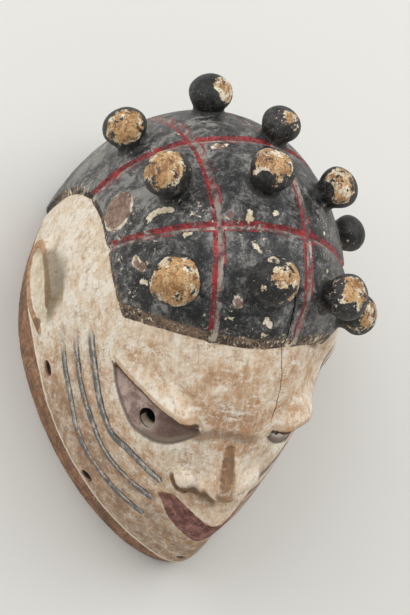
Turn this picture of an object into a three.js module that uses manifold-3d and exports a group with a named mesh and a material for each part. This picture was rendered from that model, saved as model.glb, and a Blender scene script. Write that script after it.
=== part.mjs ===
// Crest mask: one hollow carving of a face under a raised hair cap with carved tufts.
// Millimetres, +Z up. The rim lies in the plane z = 0, the face looks toward -Y,
// the nape is toward +Y and the mask's own left is +X.

import * as THREE from 'three';
import { mergeVertices } from 'three/addons/utils/BufferGeometryUtils.js';
import Module from 'manifold-3d';

// Overall sizes of the egg-shaped head

const HALF_WIDTH = 102.3;
const CHIN_END = -147;
const NAPE_END = 150.2;
const WIDEST_Y = 10.9;
const HEAD_HEIGHT = 214.7;
const FRONT_ROUNDNESS = 1.607;
const BACK_ROUNDNESS = 2.07;
const DOME_ROUNDNESS = 2.11;
const FACE_RADIUS = 450;
const FACE_LOW = { y: -133, z: 104 };
const FACE_HIGH = { y: -47.6, z: 200 };
const FACE_BLEND = 16;
const LEFT_SLIMMER = 5.5;
const WALL = 12;
const FACE_WALL = 17;

// Small functions used by every form

const clamp01 = (t) => Math.min(Math.max(t, 0), 1);

function smoothStep(from, to, value) {
  const t = clamp01((value - from) / (to - from));
  return t * t * (3 - 2 * t);
}

function blendMax(a, b, width) {
  const t = clamp01(0.5 + (0.5 * (a - b)) / width);
  return b + (a - b) * t + width * t * (1 - t);
}

const blendMin = (a, b, width) => -blendMax(-a, -b, width);

function along(xs, ys, x) {
  if (x <= xs[0]) return ys[0];
  for (let i = 1; i < xs.length; i++) {
    if (x <= xs[i]) {
      const t = (x - xs[i - 1]) / (xs[i] - xs[i - 1]);
      return ys[i - 1] + t * (ys[i] - ys[i - 1]);
    }
  }
  return ys[ys.length - 1];
}

// The same along a smooth curve instead of straight steps
function smoothAlong(xs, ys, x) {
  const last = xs.length - 1;
  const slope = (i) => {
    if (i === 0) return (ys[1] - ys[0]) / (xs[1] - xs[0]);
    if (i === last) return (ys[last] - ys[last - 1]) / (xs[last] - xs[last - 1]);
    const before = xs[i] - xs[i - 1];
    const after = xs[i + 1] - xs[i];
    const rise = before ** 2 * (ys[i + 1] - ys[i]) + after ** 2 * (ys[i] - ys[i - 1]);
    return rise / (before * after * (before + after));
  };
  const at = Math.min(Math.max(x, xs[0]), xs[last]);
  let i = 0;
  while (i < last - 1 && at > xs[i + 1]) i++;
  const width = xs[i + 1] - xs[i];
  const t = (at - xs[i]) / width;
  const low = ys[i] * (1 + 2 * t) * (1 - t) ** 2 + slope(i) * width * t * (1 - t) ** 2;
  return low + ys[i + 1] * t * t * (3 - 2 * t) + slope(i + 1) * width * t * t * (t - 1);
}

function unit(v) {
  const length = Math.hypot(v[0], v[1], v[2]);
  return v.map((c) => c / length);
}

const dot = (a, b) => a[0] * b[0] + a[1] * b[1] + a[2] * b[2];
const sub = (a, b) => [a[0] - b[0], a[1] - b[1], a[2] - b[2]];
const shift = (a, b, k) => [a[0] + b[0] * k, a[1] + b[1] * k, a[2] + b[2] * k];
const gap = (a, b) => Math.hypot(a[0] - b[0], a[1] - b[1], a[2] - b[2]);
const mirror = (p) => [-p[0], p[1], p[2]];

function cross(a, b) {
  return [a[1] * b[2] - a[2] * b[1], a[2] * b[0] - a[0] * b[2], a[0] * b[1] - a[1] * b[0]];
}

// Distance from a point to a rod whose radius runs from one end to the other
function rod(p, a, b, radiusA, radiusB) {
  const d = sub(b, a);
  const t = clamp01(dot(sub(p, a), d) / dot(d, d));
  return gap(p, shift(a, d, t)) - (radiusA + (radiusB - radiusA) * t);
}

function lineDistance(p, points) {
  let best = Infinity;
  for (let i = 1; i < points.length; i++) best = Math.min(best, rod(p, points[i - 1], points[i], 0, 0));
  return best;
}

// Head: an egg with a pointed chin, its front planed to a gently curved face

function egg(x, y, z) {
  const dy = y - WIDEST_Y;
  const power = dy < 0 ? FRONT_ROUNDNESS : BACK_ROUNDNESS;
  const reach = dy < 0 ? WIDEST_Y - CHIN_END : NAPE_END - WIDEST_Y;
  const plan = (Math.abs(x) / HALF_WIDTH) ** power + (Math.abs(dy) / reach) ** power;
  const dome = (Math.abs(z) / HEAD_HEIGHT) ** DOME_ROUNDNESS;
  const level = (plan ** (DOME_ROUNDNESS / power) + dome) ** (1 / DOME_ROUNDNESS);
  return Math.hypot(x, dy, z) * (1 - 1 / Math.max(level, 1e-6));
}

const faceCentre = (() => {
  const dy = FACE_HIGH.y - FACE_LOW.y;
  const dz = FACE_HIGH.z - FACE_LOW.z;
  const chord = Math.hypot(dy, dz);
  const back = Math.sqrt(FACE_RADIUS ** 2 - (chord / 2) ** 2);
  return {
    y: (FACE_LOW.y + FACE_HIGH.y) / 2 + (dz / chord) * back,
    z: (FACE_LOW.z + FACE_HIGH.z) / 2 - (dy / chord) * back,
  };
})();

function head(x, y, z) {
  const face = Math.hypot(x, y - faceCentre.y, z - faceCentre.z) - FACE_RADIUS;
  return blendMax(egg(x, y, z), face, FACE_BLEND);
}

// The left side of the face is carved a little slimmer than the right: a point of the real
// mask is looked up further out on the even-sided head, and a drawn point is brought in

function slimming([x, y, z]) {
  const amount = LEFT_SLIMMER * smoothStep(4, 26, x) * smoothStep(-18, -36, y);
  const out = unit([x / HALF_WIDTH ** 2, (y - WIDEST_Y) / (WIDEST_Y - CHIN_END) ** 2, z / HEAD_HEIGHT ** 2]);
  return out.map((c) => c * amount);
}

const unslimmed = (p) => shift(p, slimming(p), 1);
const slimmed = (p) => shift(p, slimming(p), -1);

// Hair cap: it stands 4 mm proud of the face behind a chamfered edge

const CAP_STEP = 4;
const CAP_CHAMFER = 6.5;
const CAP_FRONT_Y = -47;
const CAP_CORNER_Y = -16;
const CAP_SIDE_LENGTH = 104;
const CAP_SIDE_HEIGHT = 148;
const capBend = (x) => (x > 0 ? 0.004 : 0.0058);
const capFrontY = (x) => CAP_FRONT_Y + capBend(x) * x * x;

function capInside(x, y, z) {
  const slope = 2 * capBend(x) * Math.abs(x);
  const front = ((y - capFrontY(x)) / Math.hypot(1, slope)) * 1.2;
  let side = z - CAP_SIDE_HEIGHT;
  if (y > CAP_CORNER_Y) {
    const dy = y - CAP_CORNER_Y;
    const level = ((dy / CAP_SIDE_LENGTH) ** 2.5 + (Math.max(z, 0) / CAP_SIDE_HEIGHT) ** 2.5) ** 0.4;
    side = Math.hypot(dy, z) * (1 - 1 / Math.max(level, 1e-6));
  }
  return blendMin(front, side, 2);
}

// Rim band: a ridge runs round the face side and the wood below it is planed down to the rim

const RIDGE_Y = [-150, -134, -105, -75, -50, -30, -10, 5, 30, 50, 70, 84, 98];
const RIDGE_Z = [24, 26, 29, 30, 34, 40, 43, 41, 33, 28, 26, 18, 0];
const RIDGE_HEIGHT = 2.4;
const ridgeZ = (y) => along(RIDGE_Y, RIDGE_Z, y);

function ridgeRise(y, z, cap) {
  const level = ridgeZ(y);
  const slope = z > level ? 1 - (z - level) / 28 : 1 - (level - z) / Math.max(level, 6);
  return RIDGE_HEIGHT * clamp01(slope) * smoothStep(0, 14, level) * smoothStep(8, -8, cap);
}

// Eyes: slanted almonds sunk under a thick upper lid that swells toward the nose. They are drawn
// along and across a plane that faces out from the cheek. The left lid stands out further.

const EYE_CENTRE = [51, -72.7, 137.5];
const EYE_OUT = unit([0.7668, -0.5154, 0.3826]);
const EYE_ALONG = (() => {
  const raw = [-45, -45, 20];
  return unit(shift(raw, EYE_OUT, -dot(raw, EYE_OUT)));
})();
const EYE_UP = cross(EYE_ALONG, EYE_OUT);
const LEFT_EYE_SHIFT = [3, -3, -7];
const LEFT_LID_EXTRA = 6.5;
const LID_ALONG = [-37, -34, -26, -18, -3, 10, 19, 25, 31, 33.5, 35.5];
const LID_LINE = [4.4, 4.7, 5.4, 6.3, 8.7, 10.5, 11.7, 11.8, 10.2, 8.2, 6];
const LID_HEIGHT = [0, 0.6, 1.6, 2.6, 5.2, 8.4, 10, 10.2, 8.6, 5.4, 0];
const LID_WIDTH = [6, 7, 9, 11, 14, 15.5, 15.5, 14, 11.5, 9.5, 7];
const LOWER_ALONG = [-34, -25, -15, -4, 7, 17.5, 26.6, 33, 35.5];
const LOWER_LINE = [4, -6.8, -14.9, -21.5, -20.5, -16.4, -8, 1.5, 6];
const lidLine = (u) => smoothAlong(LID_ALONG, LID_LINE, u);
const lidWidth = (u) => smoothAlong(LID_ALONG, LID_WIDTH, u);
const lowerLine = (u) => smoothAlong(LOWER_ALONG, LOWER_LINE, u);

function eyePlace(u, v) {
  return shift(shift(EYE_CENTRE, EYE_ALONG, u), EYE_UP, v);
}

function eyeRise([x, y, z]) {
  const left = x > 0 ? 1 : 0;
  const d = shift(sub([Math.abs(x), y, z], EYE_CENTRE), LEFT_EYE_SHIFT, -left);
  if (Math.abs(dot(d, EYE_OUT)) > 35) return 0;
  const u = dot(d, EYE_ALONG);
  const v = dot(d, EYE_UP);
  const over = v - lidLine(u);
  if (over >= 0) {
    const extra = LEFT_LID_EXTRA * left * Math.exp(-(((u - 5) / 15) ** 2));
    const end = smoothStep(0, 6, 36 - 1.2 * over - u);
    const height = (smoothAlong(LID_ALONG, LID_HEIGHT, u) + extra) * end;
    if (over < 3) return height * (1 - 0.22 * ((3 - over) / 3) ** 2);
    return height * (1 - smoothStep(0, 1, (over - 3) / lidWidth(u)));
  }
  const low = lowerLine(u);
  if (v < low || Math.abs(u) > 35) return 0;
  const deep = clamp01((v - low) / Math.max(lidLine(u) - low, 0.5));
  return -(1.2 + 5.2 * deep ** 1.4) * clamp01((35 - Math.abs(u)) / 6) * smoothStep(0, 1.6, v - low);
}

// Mouth: a pouting upper lip that comes to a point over a heavy lower lip

const LIP_LINE_X = [0, 5, 10, 19, 27, 31, 33.5];
const LIP_LINE_Z = [105.2, 105.4, 106.2, 108, 106.5, 99, 94];
const LIP_FOOT_X = [0, 3, 7, 15.5, 24, 29, 33.5];
const LIP_FOOT_Z = [72, 72.6, 74.8, 79.3, 84.7, 92, 94];
const LIP_X = [0, 4, 12, 19.5, 27.5, 33.5];
const UPPER_LIP = [12, 11.3, 8.6, 6.4, 3.2, 0];
const LOWER_LIP = [7.5, 7.2, 6.2, 5.2, 3.2, 0];
const CHIN_RISE = 3;
const lipLine = (x) => smoothAlong(LIP_LINE_X, LIP_LINE_Z, x);
const lipFoot = (x) => smoothAlong(LIP_FOOT_X, LIP_FOOT_Z, x);

function mouthRise(x, y, z) {
  if (y > -84) return 0;
  const line = lipLine(x);
  const foot = lipFoot(x);
  const over = z - line;
  if (over >= 0) {
    return smoothAlong(LIP_X, UPPER_LIP, x) * (1 - 1.15 * smoothStep(0, 17, over)) * smoothStep(34, 20, over);
  }
  const chin = CHIN_RISE * smoothStep(0, 45, z) * smoothStep(24, 6, x);
  if (z < foot) return chin;
  const within = clamp01((z - foot) / Math.max(line - foot, 1));
  const lower = smoothAlong(LIP_X, LOWER_LIP, x) * (0.55 + 0.45 * Math.sin(within * Math.PI * 0.62));
  return Math.max(lower, chin * (1 - within));
}

// Nose: a ridge from the brow to the tip, a rounded wing on each side, cut off flat underneath

const NOSE_BRIDGE = [0, -87, 145];
const NOSE_TIP = [0, -122.5, 134.6];
const NOSE_ROOT = [0, -90, 136];
const NOSE_MIDDLE = [0, -116, 127.5];
const WING_INNER = [13, -116, 122.5];
const WING_OUTER = [20.5, -111, 119.5];
const noseUnder = (x, y) => 117.5 + 0.06 * Math.abs(x) + 2 * Math.max(-124 - y, 0);

function withNose(x, y, z, skin) {
  if (z < noseUnder(x, y)) return skin;
  const core = blendMin(skin, rod([x, y, z], NOSE_ROOT, NOSE_MIDDLE, 7.5, 10.5), 7);
  const ridge = blendMin(core, rod([x, y, z], NOSE_BRIDGE, NOSE_TIP, 2.6, 5), 5);
  return blendMin(ridge, rod([x, y, z], WING_INNER, WING_OUTER, 6, 8.4), 4);
}

// Ears: a rounded helix round a shallow dish, with a hollow scooped out in front

const EAR = [
  [-7, 57], [3, 52], [16, 46], [30, 42], [44, 43], [52, 50],
  [50, 60], [41, 71], [30, 78], [20, 81], [12, 80], [6, 74],
];
const EAR_HEIGHT_AT = [0, 0.2, 0.45, 0.7, 0.9, 1];
const EAR_HEIGHT = [1.5, 3, 6, 6.5, 6, 2.5];
const HELIX_HALF_WIDTH = 4.6;

function insideEar(y, z) {
  let inside = false;
  EAR.forEach(([y1, z1], i) => {
    const [y2, z2] = EAR[(i + 1) % EAR.length];
    if (z1 > z !== z2 > z && y < ((y2 - y1) * (z - z1)) / (z2 - z1) + y1) inside = !inside;
  });
  return inside;
}

function earRise(x, y, z) {
  if (x < 50 || y < -30 || y > 75 || z < 20 || z > 115) return 0;
  let nearest = Infinity;
  let closing = 0;
  let place = 0;
  for (let i = 0; i < EAR.length; i++) {
    const [y1, z1] = EAR[i];
    const [y2, z2] = EAR[(i + 1) % EAR.length];
    const t = clamp01(((y - y1) * (y2 - y1) + (z - z1) * (z2 - z1)) / ((y2 - y1) ** 2 + (z2 - z1) ** 2));
    const d = Math.hypot(y - y1 - t * (y2 - y1), z - z1 - t * (z2 - z1));
    if (i === EAR.length - 1) {
      closing = d;
    } else if (d < nearest) {
      nearest = d;
      place = (i + t) / (EAR.length - 1);
    }
  }
  const height = along(EAR_HEIGHT_AT, EAR_HEIGHT, place);
  const helix = height * Math.sqrt(1 - clamp01(nearest / HELIX_HALF_WIDTH) ** 2);
  if (insideEar(y, z)) {
    const dish = height * 0.5 * Math.max(clamp01(1 - (nearest - 2) / 14), 0.3) * smoothStep(0, 8, closing);
    return Math.max(helix, dish);
  }
  const scoop = 4.2 * Math.exp(-(((y - 8) / 13) ** 2) - ((z - 86 - 0.25 * (y - 8)) / 8) ** 2);
  return helix - scoop * smoothStep(0, 5, nearest);
}

// Cheek scars: three carved lines on each side

const SCAR_HALF_WIDTH = 2.2;
const SCAR_DEPTH = 1.9;
const SCARS = [
  [[91, -17, 86], [87, -36, 77], [83, -50, 71], [77, -65, 61], [70, -79, 55], [60, -96, 55], [47, -112, 58], [35, -123, 62]],
  [[87, -20, 102], [82, -43, 92], [77, -56, 86], [72, -69, 82], [64, -86, 77], [48, -106, 79], [35, -117, 85]],
  [[81, -24, 119], [74, -50, 107], [68, -68, 98], [61, -82, 95], [53, -91, 100], [44, -101, 103], [35, -110, 105]],
];

// Partings: two lines from ear to ear and two from brow to nape cross on the cap

const PARTING_HALF_WIDTH = 3.3;
const PARTING_DEPTH = 2.6;
const crownY = (x) => 20.5 - 0.03 * x;
const backY = (x) => 84.5 - 21.5 * (Math.min(Math.abs(x), 84) / 80) ** 4;
const rightX = (y) => -25.5 - 0.0007 * Math.max(y, 0) ** 2;
const leftX = (y) => 30.5 - 0.0017 * Math.max(y, 0) ** 2;

function partingDepth(x, y, z, cap) {
  const bend = 4 * (21.5 / 80) * (Math.min(Math.abs(x), 84) / 80) ** 3;
  let d = Math.min(Math.abs(y - crownY(x)), Math.abs(x - rightX(y)), Math.abs(x - leftX(y)));
  if (z > 60) d = Math.min(d, Math.abs(y - backY(x)) / Math.hypot(1, bend));
  return PARTING_DEPTH * clamp01(1 - d / PARTING_HALF_WIDTH) * smoothStep(-2, 0.5, cap);
}

// Crack: an open split from the middle front tuft down to the left eye

const CRACK = [
  [21, -14, 208], [22, -38, 197], [23, -53, 187], [26, -64, 176], [26, -76, 165], [25, -87, 154], [23, -93, 148],
];
const CRACK_HALF_WIDTH = 0.9;
const CRACK_DEPTH = 3;

// Stub of the lost tuft: a flat round patch of bare wood on the right of the cap

const STUB_CENTRE = [-71, 44, 152.5];
const STUB_AXIS = unit([-0.88, 0.21, 0.43]);
const STUB_RADIUS = 12.5;

function withStub(p, skin) {
  const d = sub(p, STUB_CENTRE);
  const height = dot(d, STUB_AXIS);
  const out = Math.sqrt(Math.max(dot(d, d) - height * height, 0));
  return blendMin(skin, Math.max(height - 0.8, out - STUB_RADIUS, -8 - height), 1);
}

// Whole carved skin without the tufts

function skin(p) {
  const q = unslimmed(p);
  const [x, y, z] = q;
  const ax = Math.abs(x);
  const mirrored = [ax, y, z];
  const cap = capInside(x, y, z);
  const face = smoothStep(8, -8, cap);
  let rise = -CAP_STEP * (1 - clamp01(cap / CAP_CHAMFER)) * Math.exp(-Math.max(-cap, 0) / 30);
  rise += ridgeRise(y, z, cap) + (eyeRise(q) + earRise(ax, y, z)) * face + mouthRise(ax, y, z);
  let surface = head(ax, y, z) - rise + partingDepth(x, y, z, cap);
  surface = withNose(ax, y, z, surface);
  for (const scar of SCARS) {
    surface += SCAR_DEPTH * clamp01(1 - lineDistance(mirrored, scar) / SCAR_HALF_WIDTH);
  }
  surface += CRACK_DEPTH * clamp01(1 - lineDistance(p, CRACK) / CRACK_HALF_WIDTH);
  return withStub(p, surface);
}

// Walk in along a line from outside until the form is met, then halve the last step

function cast(from, direction, form, start, stop) {
  const at = (r) => form(shift(from, direction, r));
  let far = start;
  let near = start;
  while (near > stop && at(near) > 0) {
    far = near;
    near -= Math.max(0.35 * at(near), 0.8);
  }
  for (let i = 0; i < 22; i++) {
    const half = (near + far) / 2;
    if (at(half) > 0) far = half;
    else near = half;
  }
  return shift(from, direction, (near + far) / 2);
}

const MIDDLE = [0, WIDEST_Y, 0];
const headAt = (p) => head(Math.abs(p[0]), p[1], p[2]);
const ontoHead = (p) => cast(MIDDLE, unit(sub(p, MIDDLE)), headAt, 262, 4);

function headNormal(p) {
  const e = 0.5;
  return unit([0, 1, 2].map((axis) => {
    const step = [0, 0, 0];
    step[axis] = e;
    return headAt(shift(p, step, 1)) - headAt(shift(p, step, -1));
  }));
}

// The way the carving is raised or cut at each place: straight out of the head, but square to
// the eye's own plane near an eye, and level over the nose and mouth
function outward(p) {
  const ax = Math.abs(p[0]);
  const normal = headNormal([ax, p[1], p[2]]);
  const d = sub([ax, p[1], p[2]], EYE_CENTRE);
  const eye = Math.hypot(dot(d, EYE_ALONG) / 42, (dot(d, EYE_UP) - 2) / 30);
  const nearEye = smoothStep(1.25, 1, eye) * smoothStep(8, 24, ax);
  const nearMouth = smoothStep(46, 38, ax) * smoothStep(-78, -88, p[1]) * smoothStep(156, 142, p[2]);
  const level = unit([normal[0], normal[1], normal[2] * (1 - nearMouth * smoothStep(56, 68, p[2]))]);
  const out = unit(shift(level.map((c) => c * (1 - nearEye)), EYE_OUT, nearEye));
  return p[0] < 0 ? mirror(out) : out;
}

// Skin points: every carved line first, then an even scatter between the lines

const skinPoints = [];

function addPoint(p, room) {
  const at = slimmed(p);
  for (const q of skinPoints) if (gap(at, q.at) < room) return;
  skinPoints.push({ at, out: outward(p) });
}

function resample(points, step) {
  const curve = new THREE.CatmullRomCurve3(points.map((p) => new THREE.Vector3(...p)), false, 'centripetal');
  const count = Math.max(Math.round(curve.getLength() / step), 2);
  return curve.getSpacedPoints(count).map((v) => [v.x, v.y, v.z]);
}

// Rows of points beside each other: the line itself and others at the given distances
function addStrip(points, distances, step, room = 1.2) {
  const line = resample(points, step).map(ontoHead);
  line.forEach((p, i) => {
    const before = line[Math.max(i - 1, 0)];
    const after = line[Math.min(i + 1, line.length - 1)];
    const across = unit(cross(sub(after, before), headNormal(p)));
    for (const distance of distances) addPoint(ontoHead(shift(p, across, distance)), room);
  });
}

function addLine(points, step, room = 1.2) {
  resample(points, step).forEach((p) => addPoint(ontoHead(p), room));
}

function onBothSides(points, add) {
  add(points);
  add(points.map(mirror));
}

const sweep = (from, to, count, place) =>
  Array.from({ length: count + 1 }, (_, i) => place(from + ((to - from) * i) / count));

function crossParting(lineY, reach) {
  return sweep(-reach, reach, 24, (angle) => {
    let p = [0, lineY(0), HEAD_HEIGHT];
    for (let i = 0; i < 3; i++) {
      p = cast([0, lineY(p[0]), 0], [Math.sin(angle), 0, Math.cos(angle)], headAt, 260, 4);
    }
    return p;
  });
}

function lengthParting(lineX, from, to) {
  return sweep(from, to, 30, (angle) => {
    let p = [lineX(0), 0, HEAD_HEIGHT];
    for (let i = 0; i < 3; i++) {
      p = cast([lineX(p[1]), WIDEST_Y, 0], [0, Math.sin(angle), Math.cos(angle)], headAt, 260, 4);
    }
    return p;
  });
}

const partingRows = [0, PARTING_HALF_WIDTH, -PARTING_HALF_WIDTH];
addStrip(crossParting(crownY, 0.5), partingRows, 9);
addStrip(crossParting(backY, 0.62), partingRows, 9);
addStrip(lengthParting(rightX, -0.27, 1.5), partingRows, 9);
addStrip(lengthParting(leftX, -0.29, 1.5), partingRows, 9);
for (const scar of SCARS) {
  onBothSides(scar, (line) => addStrip(line, [0, SCAR_HALF_WIDTH, -SCAR_HALF_WIDTH], 7));
}
addStrip(CRACK, [0, CRACK_HALF_WIDTH, -CRACK_HALF_WIDTH], 10, 0.7);

const sideX = (y, z) => cast([0, y, z], [1, 0, 0], headAt, HALF_WIDTH + 8, 0);
const topZ = (x, y) => cast([x, y, 0], [0, 0, 1], headAt, HEAD_HEIGHT + 8, 0);
const frontY = (x, z) => cast([x, 0, z], [0, -1, 0], headAt, 8 - CHIN_END, 0);

for (const inset of [0, CAP_CHAMFER]) {
  addLine(sweep(-71, 76, 22, (x) => topZ(x, capFrontY(x) + inset / 1.2)), 8);
  const side = sweep(0.1, 1.5, 18, (angle) => {
    const dy = (CAP_SIDE_LENGTH + inset) * Math.sin(angle) ** 0.8;
    const dz = (CAP_SIDE_HEIGHT + inset) * Math.cos(angle) ** 0.8;
    return sideX(CAP_CORNER_Y + dy, dz);
  });
  onBothSides(side, (line) => addLine(line, 9));
}

onBothSides(sweep(-146, 92, 30, (y) => sideX(y, ridgeZ(y))), (line) => addLine(line, 9));
onBothSides(EAR.map(([y, z]) => sideX(y, z)), (line) => {
  addStrip(line, [0, HELIX_HALF_WIDTH, -HELIX_HALF_WIDTH, 2.9, -2.9], 7);
});

// Rows along both lids of each eye, the left eye a little lower and further forward
function addEyeRow(from, to, count, placeV, room = 0.8) {
  for (const left of [0, 1]) {
    for (const u of sweep(from, to, count, (value) => value)) {
      const drawn = shift(eyePlace(u, placeV(u)), LEFT_EYE_SHIFT, left);
      const p = cast(drawn, EYE_OUT, headAt, 40, -40);
      addPoint(left ? p : mirror(p), room);
    }
  }
}

addEyeRow(-35, 35, 24, (u) => lidLine(u) + 0.6);
addEyeRow(-35, 35, 24, (u) => lidLine(u) - 0.6);
addEyeRow(-34, 34.5, 28, (u) => lowerLine(u) - 0.1);
addEyeRow(-28, 29, 23, (u) => lowerLine(u) + 1.7);
for (const share of [0, 0.22, 0.44, 0.66, 0.88, 1.15]) {
  addEyeRow(-36, 36, 18, (u) => lidLine(u) + 3.4 + lidWidth(u) * share, 2);
}
for (const share of [0.33, 0.66]) {
  addEyeRow(-26, 29, 14, (u) => lowerLine(u) + (lidLine(u) - lowerLine(u)) * share, 2);
}
addEyeRow(-36, 36, 18, (u) => lowerLine(u) - 4.5, 2);

for (const offset of [-0.6, 0.6]) {
  addLine(sweep(-33.5, 33.5, 24, (x) => frontY(x, lipLine(Math.abs(x)) + offset)), 3, 0.8);
  addLine(sweep(-33.5, 33.5, 24, (x) => frontY(x, lipFoot(Math.abs(x)) + offset)), 3.6, 0.8);
  addLine(sweep(-31, 31, 20, (x) => frontY(x, noseUnder(x, -120) + offset)), 3.1, 0.8);
}

// Even rows of points over the nose, both lips and the chin below them
for (const x of sweep(-33, 33, 22, (value) => value)) {
  const foot = lipFoot(Math.abs(x));
  const line = lipLine(Math.abs(x));
  const under = noseUnder(x, -120);
  const rows = [
    ...sweep(foot - 9, foot - 4.5, 1, (z) => z),
    ...sweep(foot, line, 6, (z) => z),
    ...sweep(line, under, 4, (z) => z),
    ...sweep(under, 149, 9, (z) => z),
  ];
  for (const z of rows) addPoint(frontY(x, z), 1.9);
}

function addRing(centre, axis, radius, count) {
  const side = unit(cross(axis, [0, 0, 1]));
  const other = cross(axis, side);
  for (let i = 0; i < count; i++) {
    const angle = (2 * Math.PI * i) / count;
    const p = shift(shift(centre, side, radius * Math.cos(angle)), other, radius * Math.sin(angle));
    addPoint(ontoHead(p), 1.2);
  }
}

addRing(STUB_CENTRE, STUB_AXIS, STUB_RADIUS - 0.7, 12);
addRing(STUB_CENTRE, STUB_AXIS, STUB_RADIUS + 0.9, 12);

const RIM_COUNT = 96;
for (let i = 0; i < RIM_COUNT; i++) {
  const angle = (2 * Math.PI * i) / RIM_COUNT;
  const out = [Math.cos(angle), Math.sin(angle), 0];
  skinPoints.push({ at: cast(MIDDLE, out, headAt, 262, 4), out, rim: true });
}

function wantedRoom([x, y, z]) {
  const ax = Math.abs(x);
  if (ax < 33 && y < -92 && z > 72 && z < 146) return 3.6;
  const d = sub([ax, y, z], EYE_CENTRE);
  if (Math.abs(dot(d, EYE_ALONG)) < 36 && Math.abs(dot(d, EYE_UP) - 2) < 24 && y < -30) return 4.6;
  return y < -20 ? 8 : 11.5;
}

const SCATTER = 24000;
for (let i = 0; i < SCATTER; i++) {
  const k = (i * 6007) % SCATTER;
  const up = 0.02 + 0.98 * ((k + 0.5) / SCATTER);
  const angle = k * Math.PI * (3 - Math.sqrt(5));
  const out = Math.sqrt(1 - up * up);
  const p = ontoHead(shift(MIDDLE, [out * Math.cos(angle), out * Math.sin(angle), up], 100));
  addPoint(p, wantedRoom(p));
}

// Each point is drawn on a flat disc seen from below, so a flat triangulation serves the dome

function flatten(p) {
  const [x, y, z] = unit(sub(p, MIDDLE));
  return [x / (1 + z), y / (1 + z)];
}

const nudge = (i, k) => 2e-6 * Math.sin(12.9898 * (i + 1) * k);
const flat = skinPoints.map(({ at, rim }, i) => {
  const [x, y] = flatten(at);
  return rim ? [x, y] : [x + nudge(i, 1), y + nudge(i, 2.3)];
});

// Circle through three flat points
function circle(a, b, c, points) {
  const [ax, ay] = points[a];
  const [bx, by] = points[b];
  const [cx, cy] = points[c];
  const d = 2 * (ax * (by - cy) + bx * (cy - ay) + cx * (ay - by));
  const a2 = ax * ax + ay * ay;
  const b2 = bx * bx + by * by;
  const c2 = cx * cx + cy * cy;
  const x = (a2 * (by - cy) + b2 * (cy - ay) + c2 * (ay - by)) / d;
  const y = (a2 * (cx - bx) + b2 * (ax - cx) + c2 * (bx - ax)) / d;
  return { corners: [a, b, c], x, y, r2: (ax - x) ** 2 + (ay - y) ** 2 };
}

// Triangulation in which no circle through a triangle's corners holds a fourth point
function triangulate(points) {
  const n = points.length;
  const all = [...points, [-900, -500], [900, -500], [0, 1000]];
  let triangles = [circle(n, n + 1, n + 2, all)];
  for (let i = 0; i < n; i++) {
    const [x, y] = all[i];
    const edges = new Map();
    const kept = [];
    for (const triangle of triangles) {
      if ((triangle.x - x) ** 2 + (triangle.y - y) ** 2 >= triangle.r2) {
        kept.push(triangle);
        continue;
      }
      const [a, b, c] = triangle.corners;
      for (const [from, to] of [[a, b], [b, c], [c, a]]) {
        const back = `${to} ${from}`;
        if (edges.has(back)) edges.delete(back);
        else edges.set(`${from} ${to}`, [from, to]);
      }
    }
    for (const [from, to] of edges.values()) kept.push(circle(from, to, i, all));
    triangles = kept;
  }
  return triangles.map(({ corners }) => corners).filter((corners) => corners.every((k) => k < n));
}

const faces = triangulate(flat);

// Final places on the carved skin, with the rim points flat on the ground

function toGeometry(points, triangles) {
  const geometry = new THREE.BufferGeometry();
  geometry.setAttribute('position', new THREE.Float32BufferAttribute(points.flat(), 3));
  geometry.setIndex(triangles.flat());
  return geometry;
}

const outerPoints = skinPoints.map(({ at, out }) => cast(at, out, skin, 34, -30));
const firstRim = skinPoints.findIndex(({ rim }) => rim);
const floorCentre = outerPoints.length;
outerPoints.push(MIDDLE);
const floorFaces = sweep(0, RIM_COUNT - 1, RIM_COUNT - 1, (i) => [
  floorCentre,
  firstRim + ((i + 1) % RIM_COUNT),
  firstRim + i,
]);
const outerGeometry = toGeometry(outerPoints, [...faces, ...floorFaces]);

// Hollow: the inside follows the head one wall thickness in, thicker behind the face, open underneath

const HOLLOW_ROWS = 11;
const HOLLOW_COLUMNS = 32;

function hollowForm(p) {
  return headAt(unslimmed(p)) + WALL + (FACE_WALL - WALL) * smoothStep(-20, -60, p[1]);
}

const hollowPoints = [];
for (let row = 1; row <= HOLLOW_ROWS; row++) {
  const tilt = ((Math.PI / 2) * row) / HOLLOW_ROWS;
  for (let column = 0; column < HOLLOW_COLUMNS; column++) {
    const angle = (2 * Math.PI * column) / HOLLOW_COLUMNS;
    const up = row === HOLLOW_ROWS ? 0 : Math.cos(tilt);
    const direction = [Math.sin(tilt) * Math.cos(angle), Math.sin(tilt) * Math.sin(angle), up];
    hollowPoints.push(cast(MIDDLE, direction, hollowForm, 262, 4));
  }
}
for (let column = 0; column < HOLLOW_COLUMNS; column++) {
  const [x, y] = hollowPoints[(HOLLOW_ROWS - 1) * HOLLOW_COLUMNS + column];
  hollowPoints.push([x, y, -10]);
}
const hollowTop = hollowPoints.length;
hollowPoints.push(cast(MIDDLE, [0, 0, 1], hollowForm, 262, 4));
const hollowBottom = hollowPoints.length;
hollowPoints.push([0, WIDEST_Y, -10]);
const hollowFaces = [];
for (let column = 0; column < HOLLOW_COLUMNS; column++) {
  const next = (column + 1) % HOLLOW_COLUMNS;
  hollowFaces.push([hollowTop, column, next]);
  for (let row = 0; row < HOLLOW_ROWS; row++) {
    const a = row * HOLLOW_COLUMNS + column;
    const b = row * HOLLOW_COLUMNS + next;
    hollowFaces.push([a, a + HOLLOW_COLUMNS, b], [b, a + HOLLOW_COLUMNS, b + HOLLOW_COLUMNS]);
  }
  const last = HOLLOW_ROWS * HOLLOW_COLUMNS;
  hollowFaces.push([hollowBottom, last + next, last + column]);
}
const hollowGeometry = toGeometry(hollowPoints, hollowFaces);

// Tufts: short necks with round heads, each leaning its own way

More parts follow.
